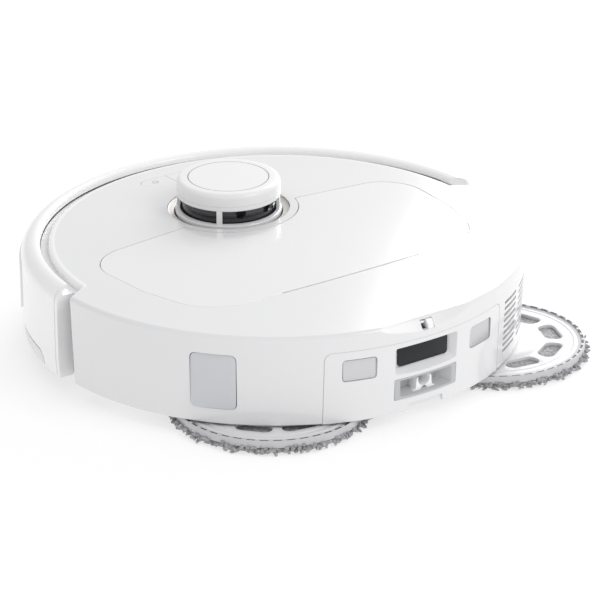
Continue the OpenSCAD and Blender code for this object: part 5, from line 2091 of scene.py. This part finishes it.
    def pad(self) -> Object:
        """The cloth pad: a crowned disc and a ragged fringe of loops.

        Returns:
            The mesh object.
        """
        rng = random.Random(31 + self.side)
        r, h = self.pad_r, self.pad_h
        disc = [(0, 0.4), (58, 0.2), (63.5, 0.5), (65.2, 1.4), (65.6, 2.8), (64.6, h - 0.2), (60.5, h + 0.1),
                (59, h + 1.8), (0, h + 1.8)]
        rounds, n = 180, len(disc)
        points: list[Spot] = []
        cx, cy, _ = self.at
        for i in range(rounds):
            a = 2 * math.pi * i / rounds
            for q, z in disc:
                wave = 0.35 * rng.uniform(-1, 1) if q > 60 else 0.0
                out = q + wave
                points.append((cx + out * math.cos(a), cy + out * math.sin(a), max(z + wave * 0.4, 0.1)))
        faces = bands(rounds, n, closed=True)
        for layer in range(self.layers):
            for i in range(self.strands):
                angle = 360 * (i + rng.uniform(-0.4, 0.4) + layer * 0.5) / self.strands
                more, sides = self.strand(rng, angle, layer)
                base = len(points)
                points += more
                faces += [tuple(base + k for k in face) for face in sides]
        name = "mop_cloth_left" if self.side > 0 else "mop_cloth_right"
        return solid(name, points, faces, self.pad_sharp)

    def build(self) -> None:
        """Makes and dresses plate, ring and pad."""
        tag = "left" if self.side > 0 else "right"
        plate = self.plate()
        plate.name = f"mop_disc_{tag}"
        finished(plate, PLATE_WHITE, "plate_white", self.body, self.plate_node)
        ring = self.ring()
        ring.name = f"mop_ring_{tag}"
        # Ring and bridges are plate white, painted grey as shade under the body.
        finished(ring, RING_SHADE_GREY, "plate_white", self.body)
        dark, pale = self.dashes()
        dark.name, pale.name = f"mop_slots_{tag}", f"mop_bridges_{tag}"
        finished(dark, DARK_PLASTIC, "dark_plastic", self.body)
        finished(pale, RING_SHADE_GREY, "plate_white", self.body)
        pad = finished(self.pad(), MICROFIBRE, "microfibre", self.body, self.pad_node)


# ------------------------------------------------------------------ CAD nodes that stay


KEPT: dict[str, Finish] = {
    "lower_chassis": CHASSIS_GREY, "exhaust_mesh": MESH_GREY, "exhaust_duct": CHASSIS_GREY,
    "lidar_motor": STEEL,
    "lidar_pulley": PLATE_WHITE, "lidar_belt": RUBBER, "dust_bin": SMOKE, "bin_lid": SMOKE,
    "filter_frame": PLATE_WHITE, "filter_media": PAPER, "water_tank": TANK_CLEAR, "tank_stopper": RUBBER,
    "battery": CELL_WRAP, "main_board": CIRCUIT, "fan_housing": CHASSIS_GREY, "fan_motor": STEEL,
    "fan_impeller": DARK_PLASTIC, "brush_guard": PORT_GREY, "brush_gearbox": DARK_PLASTIC,
    "side_brush_motor": DARK_PLASTIC, "left_wheel_arm": DARK_PLASTIC, "right_wheel_arm": DARK_PLASTIC,
    "left_wheel_hub": DARK_PLASTIC, "right_wheel_hub": DARK_PLASTIC, "wheel_pivot_pins": STEEL,
    "caster_fork": CHASSIS_GREY, "caster_wheel": RUBBER, "mop_motor_left": DARK_PLASTIC,
    "mop_motor_right": DARK_PLASTIC,
    "mop_arm": CHASSIS_GREY, "mop_arm_pin": STEEL, "cliff_windows": DARK_WINDOW, "speaker": DARK_PLASTIC,
    "chassis_screws": STEEL,
}


def dress_kept_nodes() -> None:
    """Gives every CAD node that stays in sight its own finish."""
    for name, finish in KEPT.items():
        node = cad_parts[name]
        node.data.materials.clear()
        node.data.materials.append(finish.material())
        log.info("%s keeps its CAD shape in %s", name, finish.name)


def main() -> None:
    """Builds the studio and every sub-assembly in order."""
    logging.basicConfig(level=logging.INFO, format="%(name)s: %(message)s")
    Studio().build()
    dress_kept_nodes()
    Housing().build()
    Lid().build()
    DockFace().build()
    Bumper().build()
    Turret().build()
    Buttons().build()
    MainBrush().build()
    SideBrush().build()
    Tread().build()
    Mop(1, "left_mop", "mop_plate_left", "mop_pad_left").build()
    Mop(-1, "right_mop", "mop_plate_right", "mop_pad_right").build()


if __name__ == "__main__":
    main()
